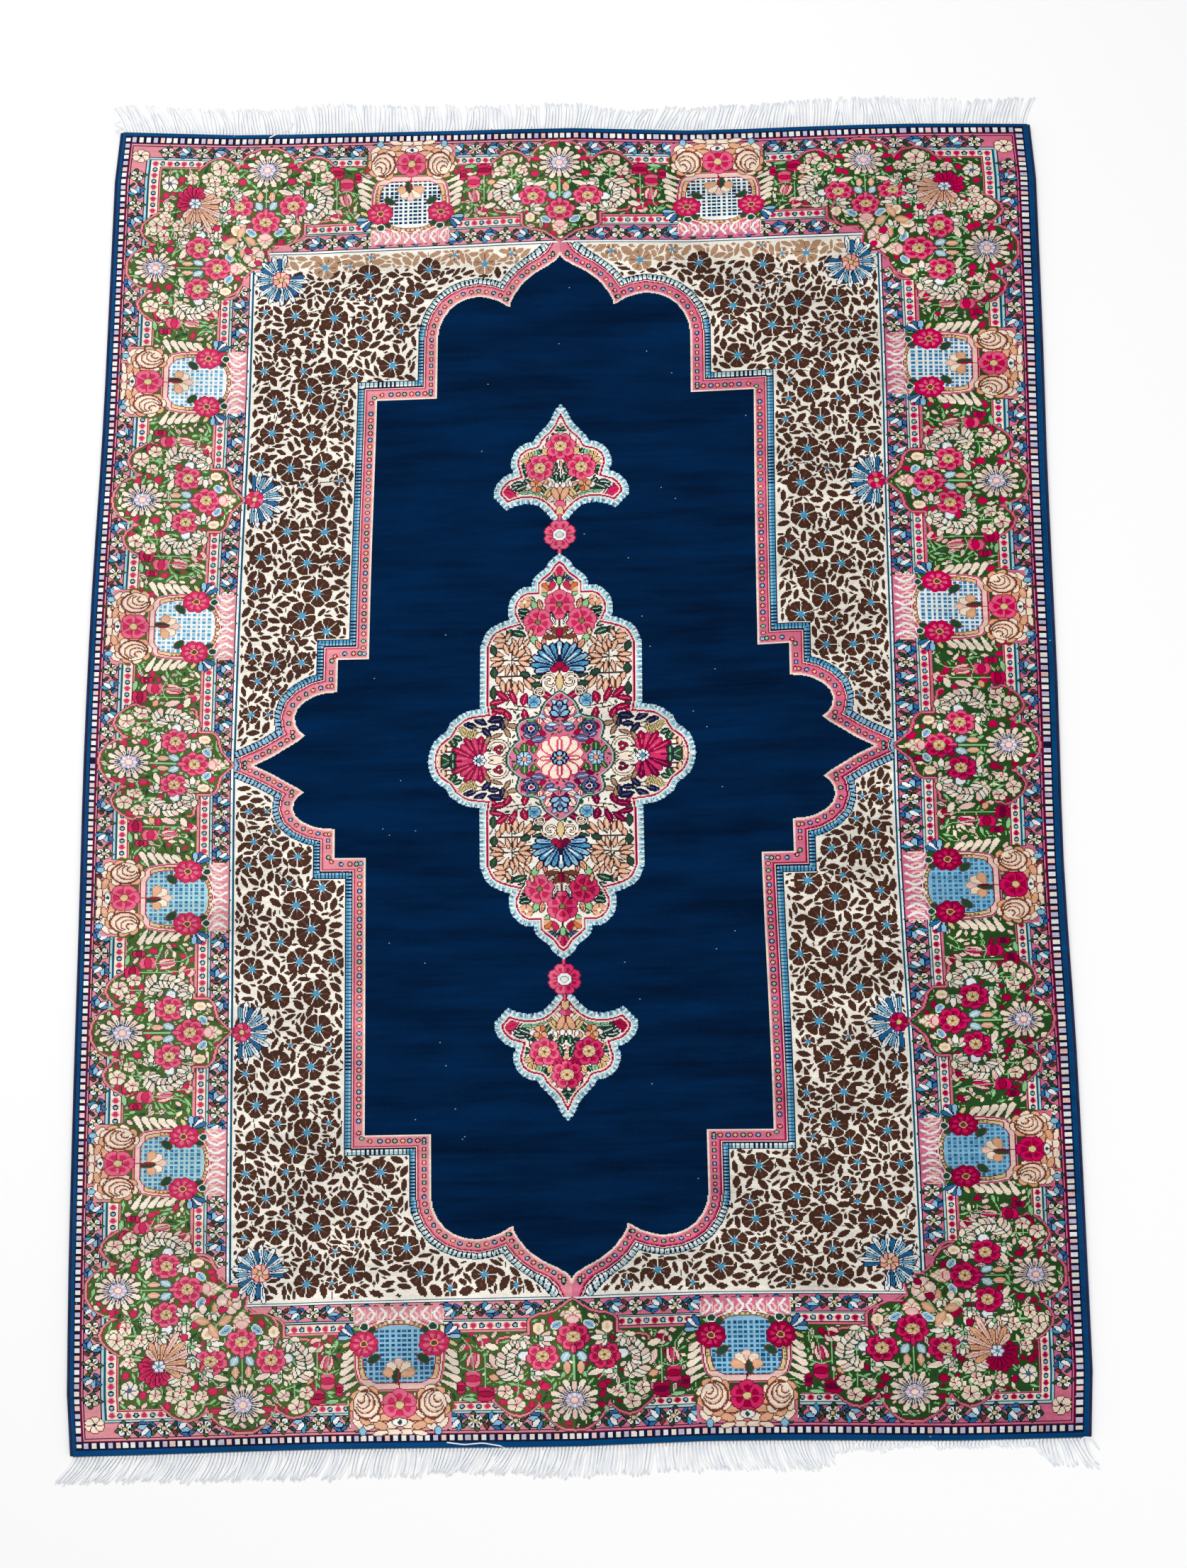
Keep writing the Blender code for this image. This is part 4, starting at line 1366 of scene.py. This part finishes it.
EDGES = cad_edges()


def edge_at(name, share):
    """Where one edge of the pile runs, at some share of its way along."""
    values = EDGES[name]
    return np.interp(share, np.linspace(0, 1, len(values)), values)


def placed(x, y):
    """Places on the even rectangle as places on the rug's own uneven outline."""
    across = (x + PILE_HALF_WIDTH) / (2 * PILE_HALF_WIDTH)
    along = (y + PILE_HALF_LENGTH) / (2 * PILE_HALF_LENGTH)
    left, right = edge_at("left", along), edge_at("right", along)
    near, far = edge_at("near", across), edge_at("far", across)
    return left + (right - left) * across, near + (far - near) * along


def swell(x, y):
    """How much the pile rises and falls over the floor's and the weaving's unevenness."""
    slow = np.sin(x / 210 + 0.6) * np.sin(y / 260 + 1.1) + 0.6 * np.sin(x / 95 - y / 140)
    return 0.45 * slow


def linear(colour):
    """A plain-light colour as the renderer's linear one, opaque."""
    shares = np.array(colour, float) / 255
    return (*np.where(shares <= 0.04045, shares / 12.92, ((shares + 0.055) / 1.055) ** 2.4), 1.0)


def new_piece(name, points, faces, material, nodes):
    """A mesh from points in millimetres, riding on the rug's one body in place of some solids."""
    mesh = bpy.data.meshes.new(name)
    mesh.from_pydata((np.asarray(points) * MM).tolist(), [], faces)
    mesh.update()
    mesh.materials.append(material)
    mesh.polygons.foreach_set("use_smooth", [True] * len(mesh.polygons))
    thing = bpy.data.objects.new(name, mesh)
    bpy.context.scene.collection.objects.link(thing)
    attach(thing, "root")
    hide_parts(*nodes)
    return thing


class Graph:
    """Short forms for building a material's nodes."""

    def __init__(self, name):
        self.material = bpy.data.materials.new(name)
        self.material.use_nodes = True
        self.tree = self.material.node_tree
        self.shader = self.tree.nodes["Principled BSDF"]

    def put(self, value, socket):
        """Links a node's output to a socket, or sets the socket to a plain value."""
        if isinstance(value, bpy.types.NodeSocket):
            self.tree.links.new(value, socket)
        else:
            socket.default_value = value

    def surface(self, **inputs):
        """Sets the shader's own inputs, spaces in their names written as low lines."""
        for name, value in inputs.items():
            self.put(value, self.shader.inputs[name.replace("_", " ")])

    def node(self, kind, inputs=(), **settings):
        made = self.tree.nodes.new(kind)
        for key, value in settings.items():
            setattr(made, key, value)
        for key, value in dict(inputs).items():
            self.put(value, made.inputs[key])
        return made

    def math(self, operation, *values):
        return self.node("ShaderNodeMath", dict(enumerate(values)), operation=operation).outputs[0]

    def plus(self, first, second):
        return self.math("ADD", first, second)

    def minus(self, first, second):
        return self.math("SUBTRACT", first, second)

    def times(self, first, second):
        return self.math("MULTIPLY", first, second)

    def parts(self, vector):
        made = self.node("ShaderNodeSeparateXYZ", {0: vector})
        return made.outputs[0], made.outputs[1]

    def vector(self, x, y, z):
        return self.node("ShaderNodeCombineXYZ", {0: x, 1: y, 2: z}).outputs[0]

    def mix(self, share, first, second):
        made = self.node("ShaderNodeMix", data_type="RGBA")
        self.put(share, made.inputs[0])
        self.put(first, made.inputs[6])
        self.put(second, made.inputs[7])
        return made.outputs[2]

    def noise(self, vector, scale, detail=2.0, roughness=0.5):
        inputs = {"Vector": vector, "Scale": scale, "Detail": detail, "Roughness": roughness}
        return self.node("ShaderNodeTexNoise", inputs).outputs["Fac"]

    def stretched_noise(self, across, along, level, detail, roughness=0.5):
        """Noise over two stretched measures of the weave, each level with its own pattern."""
        place = self.vector(self.times(*across), self.times(*along), level)
        return self.noise(place, 1.0, detail, roughness)

    def chance(self, column, row, level, dimensions):
        """A random value for each knot."""
        inputs = {"Vector": self.vector(column, row, level)}
        return self.node("ShaderNodeTexWhiteNoise", inputs, noise_dimensions=dimensions).outputs["Value"]

    def spread(self, value, low, high, to_low, to_high):
        inputs = {0: value, 1: low, 2: high, 3: to_low, 4: to_high}
        return self.node("ShaderNodeMapRange", inputs).outputs[0]

    def bump(self, height, strength, distance):
        inputs = {"Height": height, "Strength": strength, "Distance": distance}
        self.surface(Normal=self.node("ShaderNodeBump", inputs).outputs[0])


def knot_wool(graph, column, row):
    """The number of a knot's wool.

    Four neighbouring knots are the digits of one number, in base 32, and a face carries twelve such
    numbers in four attributes of three.
    """
    column_in = graph.math("MODULO", column, float(KNOTS_ACROSS_FACE))
    row_in = graph.math("MODULO", row, float(KNOTS_ALONG_FACE))
    half = graph.math("GREATER_THAN", column_in, DIGITS - 0.5)
    digit = graph.minus(column_in, graph.times(half, float(DIGITS)))
    number = graph.plus(graph.times(row_in, 2.0), half)
    group = graph.math("FLOOR", graph.math("DIVIDE", graph.plus(number, 0.01), 3.0))
    member = graph.minus(number, graph.times(group, 3.0))
    picker = graph.vector(*(graph.math("COMPARE", member, float(index), 0.2) for index in range(3)))
    total = 0.0
    for index in range(ATTRIBUTES):
        carried = graph.node("ShaderNodeAttribute", attribute_name=f"knots_{index}").outputs["Vector"]
        dot = graph.node("ShaderNodeVectorMath", {0: carried, 1: picker}, operation="DOT_PRODUCT")
        in_group = graph.math("COMPARE", group, float(index), 0.2)
        total = graph.plus(total, graph.times(dot.outputs["Value"], in_group))
    divisor = graph.math("POWER", 2.0, graph.times(digit, 5.0))
    shifted = graph.math("FLOOR", graph.math("DIVIDE", graph.plus(total, 0.5), divisor))
    return graph.math("MODULO", shifted, BASE)


def wool_colour(graph, wool):
    """The colour of a wool by its number."""
    ramp = graph.node("ShaderNodeValToRGB", {0: graph.math("DIVIDE", graph.plus(wool, 0.5), BASE)})
    ramp.color_ramp.interpolation = "CONSTANT"
    stops = ramp.color_ramp.elements
    stops[0].position = 0.0
    stops[1].position = 1 / BASE
    for index in range(2, len(WOOLS)):
        stops.new(index / BASE)
    for stop, (_, colour) in zip(stops, WOOLS):
        stop.color = linear(colour)
    return ramp.outputs[0]


def pile_tone(graph, across, along, wool, per_knot, shade_rightwards):
    """How much lighter or darker than its wool a knot is, painted shade of the pile included."""
    streaks = graph.stretched_noise((across, 0.012), (along, 0.16), 3.0, 3.0, 0.6)
    clouds = graph.stretched_noise((across, 0.011), (along, 0.02), 9.0, 3.0)
    tone = graph.spread(per_knot, 0.0, 1.0, -0.09, 0.09)
    tone = graph.plus(tone, graph.spread(streaks, 0.3, 0.7, -0.12, 0.12))
    tone = graph.plus(tone, graph.spread(clouds, 0.3, 0.7, -0.16, 0.16))
    # Painted shade: the pile is shown darker towards the right and near sides, as the light falls on it
    # there
    shade_nearwards = graph.spread(along, HALF_ROWS, 0.0, 0.0, 1.0)
    tone = graph.minus(tone, graph.times(shade_rightwards, 0.2))
    tone = graph.minus(tone, graph.times(shade_nearwards, 0.1))
    # The plain navy shows dark and light bands of weft
    navy = graph.math("COMPARE", wool, float(WOOL["navy"]), 0.5)
    bands = graph.stretched_noise((across, 0.006), (along, 0.035), 1.0, 4.0, 0.6)
    return graph.plus(tone, graph.times(navy, graph.spread(bands, 0.36, 0.64, -0.3, 0.22)))


def pile_material():
    """Reads each knot's wool from the chart that the faces carry, and gives it a cut pile."""
    graph = Graph("pile_wool_knotted")
    across, along = graph.parts(graph.node("ShaderNodeUVMap", uv_map=WEAVE_MAP).outputs[0])
    column = graph.math("FLOOR", across)
    row = graph.math("FLOOR", along)
    wool = knot_wool(graph, column, row)
    per_knot = graph.chance(column, row, 0.0, "2D")
    # How far into the painted shade of the right side a knot lies
    shade_rightwards = graph.spread(across, 0.35 * 2 * HALF_COLUMNS, 2 * HALF_COLUMNS, 0.0, 1.0)
    tone = pile_tone(graph, across, along, wool, per_knot, shade_rightwards)
    # The painted shade of the right side also makes the colour more saturated
    inputs = {
        "Color": wool_colour(graph, wool),
        "Saturation": graph.plus(graph.times(shade_rightwards, 0.08), 1.0),
        "Value": graph.plus(tone, 1.0),
    }
    colour = graph.node("ShaderNodeHueSaturation", inputs).outputs[0]
    # Specks of pale lint
    lint = graph.math("GREATER_THAN", graph.chance(column, row, 5.0, "3D"), 0.99985)
    colour = graph.mix(graph.times(lint, 0.7), colour, linear((170, 206, 226)))

    fine = graph.noise(graph.vector(across, along, 0.0), 2.6, 2.0, 0.6)
    round_across = graph.math("SINE", graph.times(graph.math("FRACT", across), math.pi))
    round_along = graph.math("SINE", graph.times(graph.math("FRACT", along), math.pi))
    height = graph.plus(graph.times(graph.times(round_across, round_along), 0.6), fine)
    graph.bump(graph.plus(height, graph.times(per_knot, 0.5)), 0.55, 0.0006)
    graph.surface(
        Base_Color=colour, Roughness=graph.spread(fine, 0.2, 0.8, 0.82, 0.98), Specular_IOR_Level=0.03,
        Sheen_Weight=0.01, Sheen_Roughness=0.5,
    )
    return graph.material


def thread_material(name, colour, other, scale, strength):
    """Twisted yarn: two near colours in patches, with a grain of fine fibres."""
    graph = Graph(name)
    place = graph.node("ShaderNodeTexCoord").outputs["Object"]
    patches = graph.noise(place, 45.0, 3.0)
    fibres = graph.noise(place, scale, 3.0, 0.65)
    share = graph.spread(patches, 0.35, 0.65, 0.0, 0.7)
    share = graph.plus(share, graph.spread(fibres, 0.35, 0.65, 0.0, 0.3))
    graph.surface(
        Base_Color=graph.mix(share, linear(colour), linear(other)),
        Roughness=graph.spread(fibres, 0.2, 0.8, 0.75, 0.95), Specular_IOR_Level=0.2, Sheen_Weight=0.1,
    )
    graph.bump(fibres, strength, 0.0004)
    return graph.material


def back_material():
    """The woven back and cut edges, which show only when the rug is lifted."""
    graph = Graph("pile_wool_back")
    place = graph.node("ShaderNodeTexCoord").outputs["Object"]
    x, y = graph.parts(place)
    per_knot = 2 * math.pi / 0.0029
    rows = graph.math("SINE", graph.times(y, per_knot))
    columns = graph.math("SINE", graph.times(x, per_knot))
    weave = graph.times(rows, columns)
    cloud = graph.spread(graph.noise(place, 30.0, 3.0), 0.3, 0.7, 0.0, 1.0)
    graph.surface(
        Base_Color=graph.mix(cloud, linear((14, 30, 62)), linear((30, 46, 84))),
        Roughness=graph.spread(weave, -1.0, 1.0, 0.8, 0.95),
    )
    graph.bump(weave, 0.4, 0.0004)
    return graph.material


def pile_grid():
    """Where the corners of the pile's faces lie on the real rug, as rows of x and y."""
    u_line = U_MIDDLE + np.arange(HALF_ACROSS + 1) * (U_EDGE - U_MIDDLE) / HALF_ACROSS
    v_line = V_MIDDLE + np.arange(HALF_ALONG + 1) * (V_EDGE - V_MIDDLE) / HALF_ALONG
    signed_u = np.concatenate((-u_line[:0:-1], (U_MIDDLE,), u_line[1:]))
    x = np.empty((2 * HALF_ALONG + 1, 2 * HALF_ACROSS + 1))
    y = np.empty_like(x)
    for column, u in enumerate(signed_u):
        side = 2 if column > HALF_ACROSS else 1
        side_table = [(row[0], row[side]) for row in SIDE_GUIDES]
        for is_far in (False, True):
            v = v_line if is_far else v_line[::-1]
            mirrored_v = V_MIDDLE - (v - V_MIDDLE) * (V_EDGE + V_MIDDLE) / (V_EDGE - V_MIDDLE)
            signed_v = v if is_far else mirrored_v
            start = HALF_ALONG if is_far else 0
            part = slice(start, start + HALF_ALONG + 1)
            x[part, column] = between(side_table, SIDE_STATIONS, np.full(len(v), abs(u)), signed_v)
            end_table = [(row[0], row[2 if is_far else 1]) for row in END_GUIDES]
            y[part, column] = between(end_table, END_STATIONS, v, x[part, column])
    return placed(x, y)


def pile_points():
    """The top of the pile: rows of points, with the outermost ones drawn in and down to a round rim."""
    x, y = pile_grid()
    x[:, 0] += RIM_INSET
    x[:, -1] -= RIM_INSET
    y[0] += RIM_INSET
    y[-1] -= RIM_INSET
    z = PILE_HEIGHT + swell(x, y)
    z[:, 0] -= RIM_DROP
    z[:, -1] -= RIM_DROP
    z[0] -= RIM_DROP
    z[-1] -= RIM_DROP
    return np.stack((x, y, z), 2).reshape(-1, 3).tolist()


def add_sides_and_back(points, faces):
    """Adds rings of faces from the rim down to the floor, and a flat back."""
    wide = 2 * HALF_ACROSS + 1
    last_row = 2 * HALF_ALONG
    loop = list(range(wide))
    loop += [row * wide + wide - 1 for row in range(1, last_row + 1)]
    loop += [last_row * wide + column for column in range(wide - 2, -1, -1)]
    loop += [row * wide for row in range(last_row - 1, 0, -1)]
    ring = loop
    for out, height in ((RIM_INSET, 7.6), (RIM_INSET, 1.0), (RIM_DROP, 0.0)):
        made = []
        for index in loop:
            x, y, _ = points[index]
            row, column = divmod(index, wide)
            shift_x = -out if column == 0 else out if column == wide - 1 else 0.0
            shift_y = -out if row == 0 else out if row == last_row else 0.0
            made.append(len(points))
            points.append((x + shift_x, y + shift_y, height))
        for index in range(len(loop)):
            beside = (index + 1) % len(loop)
            faces.append((ring[index], made[index], made[beside], ring[beside]))
        ring = made
    faces.append(tuple(reversed(ring)))


def carry_knots(mesh, chart):
    """Packs the chart into the attributes that knot_wool reads, face by face."""
    tall, wide = 2 * HALF_ALONG, 2 * HALF_ACROSS
    blocks = chart.reshape(tall, KNOTS_ALONG_FACE, wide, KNOTS_ACROSS_FACE).transpose(0, 2, 1, 3)
    digits = blocks.reshape(tall * wide, 3 * ATTRIBUTES, DIGITS).astype(np.float64)
    packed = (digits * (BASE ** np.arange(DIGITS))).sum(2)
    for index in range(ATTRIBUTES):
        carried = mesh.attributes.new(f"knots_{index}", "FLOAT_VECTOR", "FACE")
        values = np.zeros((len(mesh.polygons), 3))
        values[:tall * wide] = packed[:, index * 3:index * 3 + 3]
        carried.data.foreach_set("vector", values.ravel())


def map_weave(mesh, points):
    """Gives the mesh its weave map, which counts knots, and a flat map for baking."""
    wide, tall = 2 * HALF_ACROSS + 1, 2 * HALF_ALONG + 1
    weave = mesh.uv_layers.new(name=WEAVE_MAP)
    bake = mesh.uv_layers.new(name="OFBake")
    corner_of = np.empty(len(mesh.loops), int)
    mesh.loops.foreach_get("vertex_index", corner_of)
    knots = np.zeros((len(points), 2))
    knots[:wide * tall, 0] = np.tile(np.arange(wide) * KNOTS_ACROSS_FACE, tall)
    knots[:wide * tall, 1] = np.repeat(np.arange(tall) * KNOTS_ALONG_FACE, wide)
    weave.data.foreach_set("uv", knots[corner_of].ravel())
    places = np.array(points)[:, :2]
    span = 1.03 * (places.max(0) - places.min(0))
    flat = (places - places.mean(0)) / span + 0.5
    bake.data.foreach_set("uv", flat[corner_of].ravel())


def make_rug():
    """The carpet: a grid whose faces each carry eight by six knots, with a rounded rim and a flat back."""
    points = pile_points()
    wide = 2 * HALF_ACROSS + 1
    faces = []
    for row in range(2 * HALF_ALONG):
        for column in range(2 * HALF_ACROSS):
            first = row * wide + column
            faces.append((first, first + 1, first + 1 + wide, first + wide))
    top_count = len(faces)
    add_sides_and_back(points, faces)
    rug = new_piece("knotted_rug", points, faces, pile_material(), ["rug"])
    mesh = rug.data
    mesh.materials.append(back_material())
    for index in range(top_count, len(faces)):
        mesh.polygons[index].material_index = 1
    carry_knots(mesh, paint_rug())
    map_weave(mesh, points)
    return rug


# How the fringe lies at places across each end: x, reach, and lean for each millimetre of reach
FRINGES = {
    "far": (
        (-725, 43, -0.20), (-680, 55, -0.45), (-600, 53, -0.40), (-500, 50, -0.12), (-360, 57, -0.10),
        (-200, 51, 0.00), (-120, 46, 0.00), (0, 50, 0.05), (80, 39, 0.30), (130, 45, 0.45), (240, 48, 0.35),
        (360, 51, 0.10), (440, 53, 0.05), (530, 52, -0.18), (610, 48, 0.22), (725, 51, 0.30),
    ),
    "near": (
        (-725, 43, -0.70), (-640, 42, -0.65), (-500, 45, -0.40), (-280, 45, -0.30), (-220, 43, -0.12),
        (-150, 39, -0.60), (-60, 44, -0.45), (0, 48, -0.25), (110, 46, 0.00), (200, 44, 0.25),
        (300, 45, 0.38), (338, 44, 0.32), (354, 22, 0.12), (400, 21, 0.00), (480, 15, 0.00),
        (560, 15, 0.00), (636, 17, 0.05), (652, 42, 0.25), (725, 46, 0.60),
    ),
}
# Loose threads that lie over the ends, each a path of x, y and height
STRAYS = {
    "far": (
        ((-474, 973, 11.3), (-462, 979, 11.4), (-452, 984, 10.8), (-446, 990, 4.0), (-440, 1004, 1.2)),
        ((-712, 986, 10.2), (-722, 992, 3.0), (-708, 998, 2.0), (-724, 1004, 2.0), (-712, 1012, 1.4)),
    ),
    "near": (
        ((-184, -980, 11.3), (-160, -983, 11.5), (-134, -981, 11.4), (-108, -986, 9.0), (-96, -994, 2.4)),
        ((698, -984, 10.6), (705, -978, 11.5), (716, -979, 11.2), (722, -987, 6.0), (728, -998, 1.6)),
    ),
}
LOCKS = 272
LOCKS_PER_TUFT = 3
STRANDS = 3
STRAND_RADII = (1.1, 1.15, 1.1, 1.05, 1.0, 0.85, 0.4)
TUBE_SIDES = 5
# The side cord: how many ribs it has, and its section as shares outwards and upwards
CORD_RIBS = 1400
CORD_SECTION = (
    (0.0, 0.25), (0.2, 0.0), (0.8, 0.0), (1.0, 0.3), (1.0, 0.68), (0.75, 1.0), (0.25, 1.0), (0.0, 0.7),
)


def ring_faces(faces, start, rings, around):
    """Joins rings of points that follow each other into a closed tube."""
    for ring in range(rings - 1):
        for index in range(around):
            beside = (index + 1) % around
            a = start + ring * around
            b = a + around
            faces.append((a + index, a + beside, b + beside, b + index))
    faces.append(tuple(range(start + around - 1, start - 1, -1)))
    last = start + (rings - 1) * around
    faces.append(tuple(range(last, last + around)))


def tube(points, faces, path, radii):
    """Adds a closed tube along a path."""
    path = np.asarray(path, float)
    ahead = np.gradient(path, axis=0)
    ahead /= np.linalg.norm(ahead, axis=1)[:, None]
    side = np.cross(ahead, (0.0, 0.0, 1.0))
    side /= np.linalg.norm(side, axis=1)[:, None]
    over = np.cross(side, ahead)
    start = len(points)
    turns = np.linspace(0, 2 * math.pi, TUBE_SIDES, endpoint=False)
    for centre, radius, across, up in zip(path, radii, side, over):
        for turn in turns:
            points.append(tuple(centre + radius * (math.cos(turn) * across + math.sin(turn) * up)))
    ring_faces(faces, start, len(path), TUBE_SIDES)


def bead(points, faces, centre, half_x, half_y, half_z):
    """Adds a small rounded knot."""
    start = len(points)
    around = 7
    levels = (-0.75, -0.15, 0.5, 0.9)
    for level in levels:
        wide = math.sqrt(1 - level * level)
        for index in range(around):
            turn = 2 * math.pi * index / around
            points.append((
                centre[0] + half_x * wide * math.cos(turn),
                centre[1] + half_y * wide * math.sin(turn),
                centre[2] + half_z * level,
            ))
    ring_faces(faces, start, len(levels), around)


def make_fringe(end, material):
    """The knotted warp ends of one end, lying on the floor in loose bundles."""
    outwards = 1.0 if end == "far" else -1.0
    along = 1.0 if end == "far" else 0.0
    chance = random.Random(31 if end == "far" else 47)
    left = float(edge_at("left", along))
    right = float(edge_at("right", along))
    spacing = (right - left) / LOCKS
    rows = np.array(FRINGES[end], float)
    points = []
    faces = []
    tuft = (0.0, 0.0, 0.0)
    for number in range(LOCKS):
        x = left + (number + 0.5) * spacing
        root_y = float(edge_at(end, (x - left) / (right - left)))
        reach = float(np.interp(x, rows[:, 0], rows[:, 1])) + chance.uniform(-2.4, 1.2)
        if number % LOCKS_PER_TUFT == 0:
            tuft = (chance.uniform(-0.13, 0.13), chance.uniform(-2.6, 2.6), chance.uniform(-3.5, 1.0))
        tuft_lean, tuft_bend, tuft_reach = tuft
        reach += tuft_reach
        lean = float(np.interp(x, rows[:, 0], rows[:, 2])) + tuft_lean + chance.uniform(-0.03, 0.03)
        bead(points, faces, (x, root_y + outwards * 2.9, 2.6), spacing * 0.47, 2.9, 2.6)
        bend = tuft_bend + chance.uniform(-0.7, 0.7)
        for strand in range(STRANDS):
            aside = (strand - (STRANDS - 1) / 2) * 1.05 + chance.uniform(-0.3, 0.3)
            spread = aside * chance.uniform(0.5, 1.5)
            length = reach - chance.uniform(0.0, 4.0)
            over = 1.0 if strand == 1 else 0.6
            path = []
            for step in range(len(STRAND_RADII)):
                t = step / (len(STRAND_RADII) - 1)
                splay = aside * 0.5 + (spread - aside * 0.5) * t
                px = x + splay + lean * reach * t**1.5 + bend * math.sin(math.pi * t)
                py = root_y + outwards * (0.6 + (length - 0.6) * t)
                pz = 0.9 + (2.6 if step == 0 else 0.9 * (1 - t)) * over
                path.append((px, py, pz))
            tube(points, faces, path, STRAND_RADII)
    for path in STRAYS[end]:
        bends = np.array(path, float)
        places = np.linspace(0, len(bends) - 1, 4 * len(bends))
        counts = np.arange(len(bends))
        smooth = np.stack([np.interp(places, counts, bends[:, axis]) for axis in range(3)], 1)
        tube(points, faces, smooth, [0.9] * len(places))
    return new_piece(f"warp_fringe_{end}", points, faces, material, [f"fringe_{end}"])


def make_side_cord(edge, material):
    """The overcast edge of one long side: close turns of wool over the outer warps."""
    outwards = -1.0 if edge == "left" else 1.0
    across = 0.0 if edge == "left" else 1.0
    near = float(edge_at("near", across))
    far = float(edge_at("far", across))
    points = []
    faces = []
    for step in range(CORD_RIBS + 1):
        along = step / CORD_RIBS
        base_x = float(edge_at(edge, along)) + outwards * 0.3
        y = near * (1 - along) + far * along
        rib = 1.0 if step % 2 else 0.88
        for out, up in CORD_SECTION:
            points.append((base_x + outwards * (2.5 + (out - 0.5) * 5.0 * rib), y, 0.1 + up * 6.6 * rib))
    ring_faces(faces, 0, CORD_RIBS + 1, len(CORD_SECTION))
    return new_piece(f"overcast_{edge}", points, faces, material, [f"side_cord_{edge}"])


# The camera that the photograph implies: turns in radians and place in metres
CAMERA_PLACE = (0.0363, -0.3210, 2.090)
CAMERA_TURNS = (0.127189, 0.005076, -0.007467)
FOCAL_PIXELS = 2000.0
IMAGE_HEIGHT = 2212
FLOOR_HALF = 6.0
# Name, place, size in metres and power in watts of each light
LIGHTS = (("key", (-1.5, 1.5, 3.4), 3.0, 68.0), ("fill", (1.7, -1.6, 3.6), 3.2, 49.0))


def make_camera():
    """The camera that the photograph implies."""
    data = bpy.data.cameras.new("camera")
    data.sensor_fit = "VERTICAL"
    data.sensor_height = 24.0
    data.lens = 24.0 * FOCAL_PIXELS / IMAGE_HEIGHT
    camera = bpy.data.objects.new("camera", data)
    bpy.context.scene.collection.objects.link(camera)
    camera.rotation_euler = CAMERA_TURNS
    camera.location = CAMERA_PLACE
    bpy.context.scene.camera = camera


def make_stage():
    """A plain pale floor, two broad soft lights from above and an even pale sky."""
    mesh = bpy.data.meshes.new("floor")
    corners = ((-1, -1), (1, -1), (1, 1), (-1, 1))
    floor_points = [(x * FLOOR_HALF, y * FLOOR_HALF, -0.0005) for x, y in corners]
    mesh.from_pydata(floor_points, [], [(0, 1, 2, 3)])
    graph = Graph("floor_pale")
    graph.surface(Base_Color=(0.95, 0.95, 0.95, 1.0), Roughness=0.9)
    mesh.materials.append(graph.material)
    floor = bpy.data.objects.new("floor", mesh)
    bpy.context.scene.collection.objects.link(floor)
    for name, place, size, power in LIGHTS:
        light = bpy.data.lights.new(name, "AREA")
        light.size = size
        light.energy = power
        lamp = bpy.data.objects.new(name, light)
        lamp.location = place
        lamp.rotation_euler = (-Vector(place)).to_track_quat("-Z", "Y").to_euler()
        bpy.context.scene.collection.objects.link(lamp)
    world = bpy.data.worlds.new("sky")
    world.use_nodes = True
    background = world.node_tree.nodes["Background"]
    background.inputs["Color"].default_value = (1.0, 1.0, 1.0, 1.0)
    background.inputs["Strength"].default_value = 0.58
    bpy.context.scene.world = world
    bpy.context.scene.view_settings.view_transform = "Standard"


make_camera()
rug = make_rug()
cord_wool = thread_material("cord_wool_overcast", (14, 30, 66), (30, 50, 96), 900.0, 0.5)
cotton = thread_material("fringe_cotton_twisted", (255, 255, 255), (234, 239, 246), 700.0, 0.5)
cords = [make_side_cord(edge, cord_wool) for edge in ("left", "right")]
fringes = [make_fringe(end, cotton) for end in ("near", "far")]
make_stage()
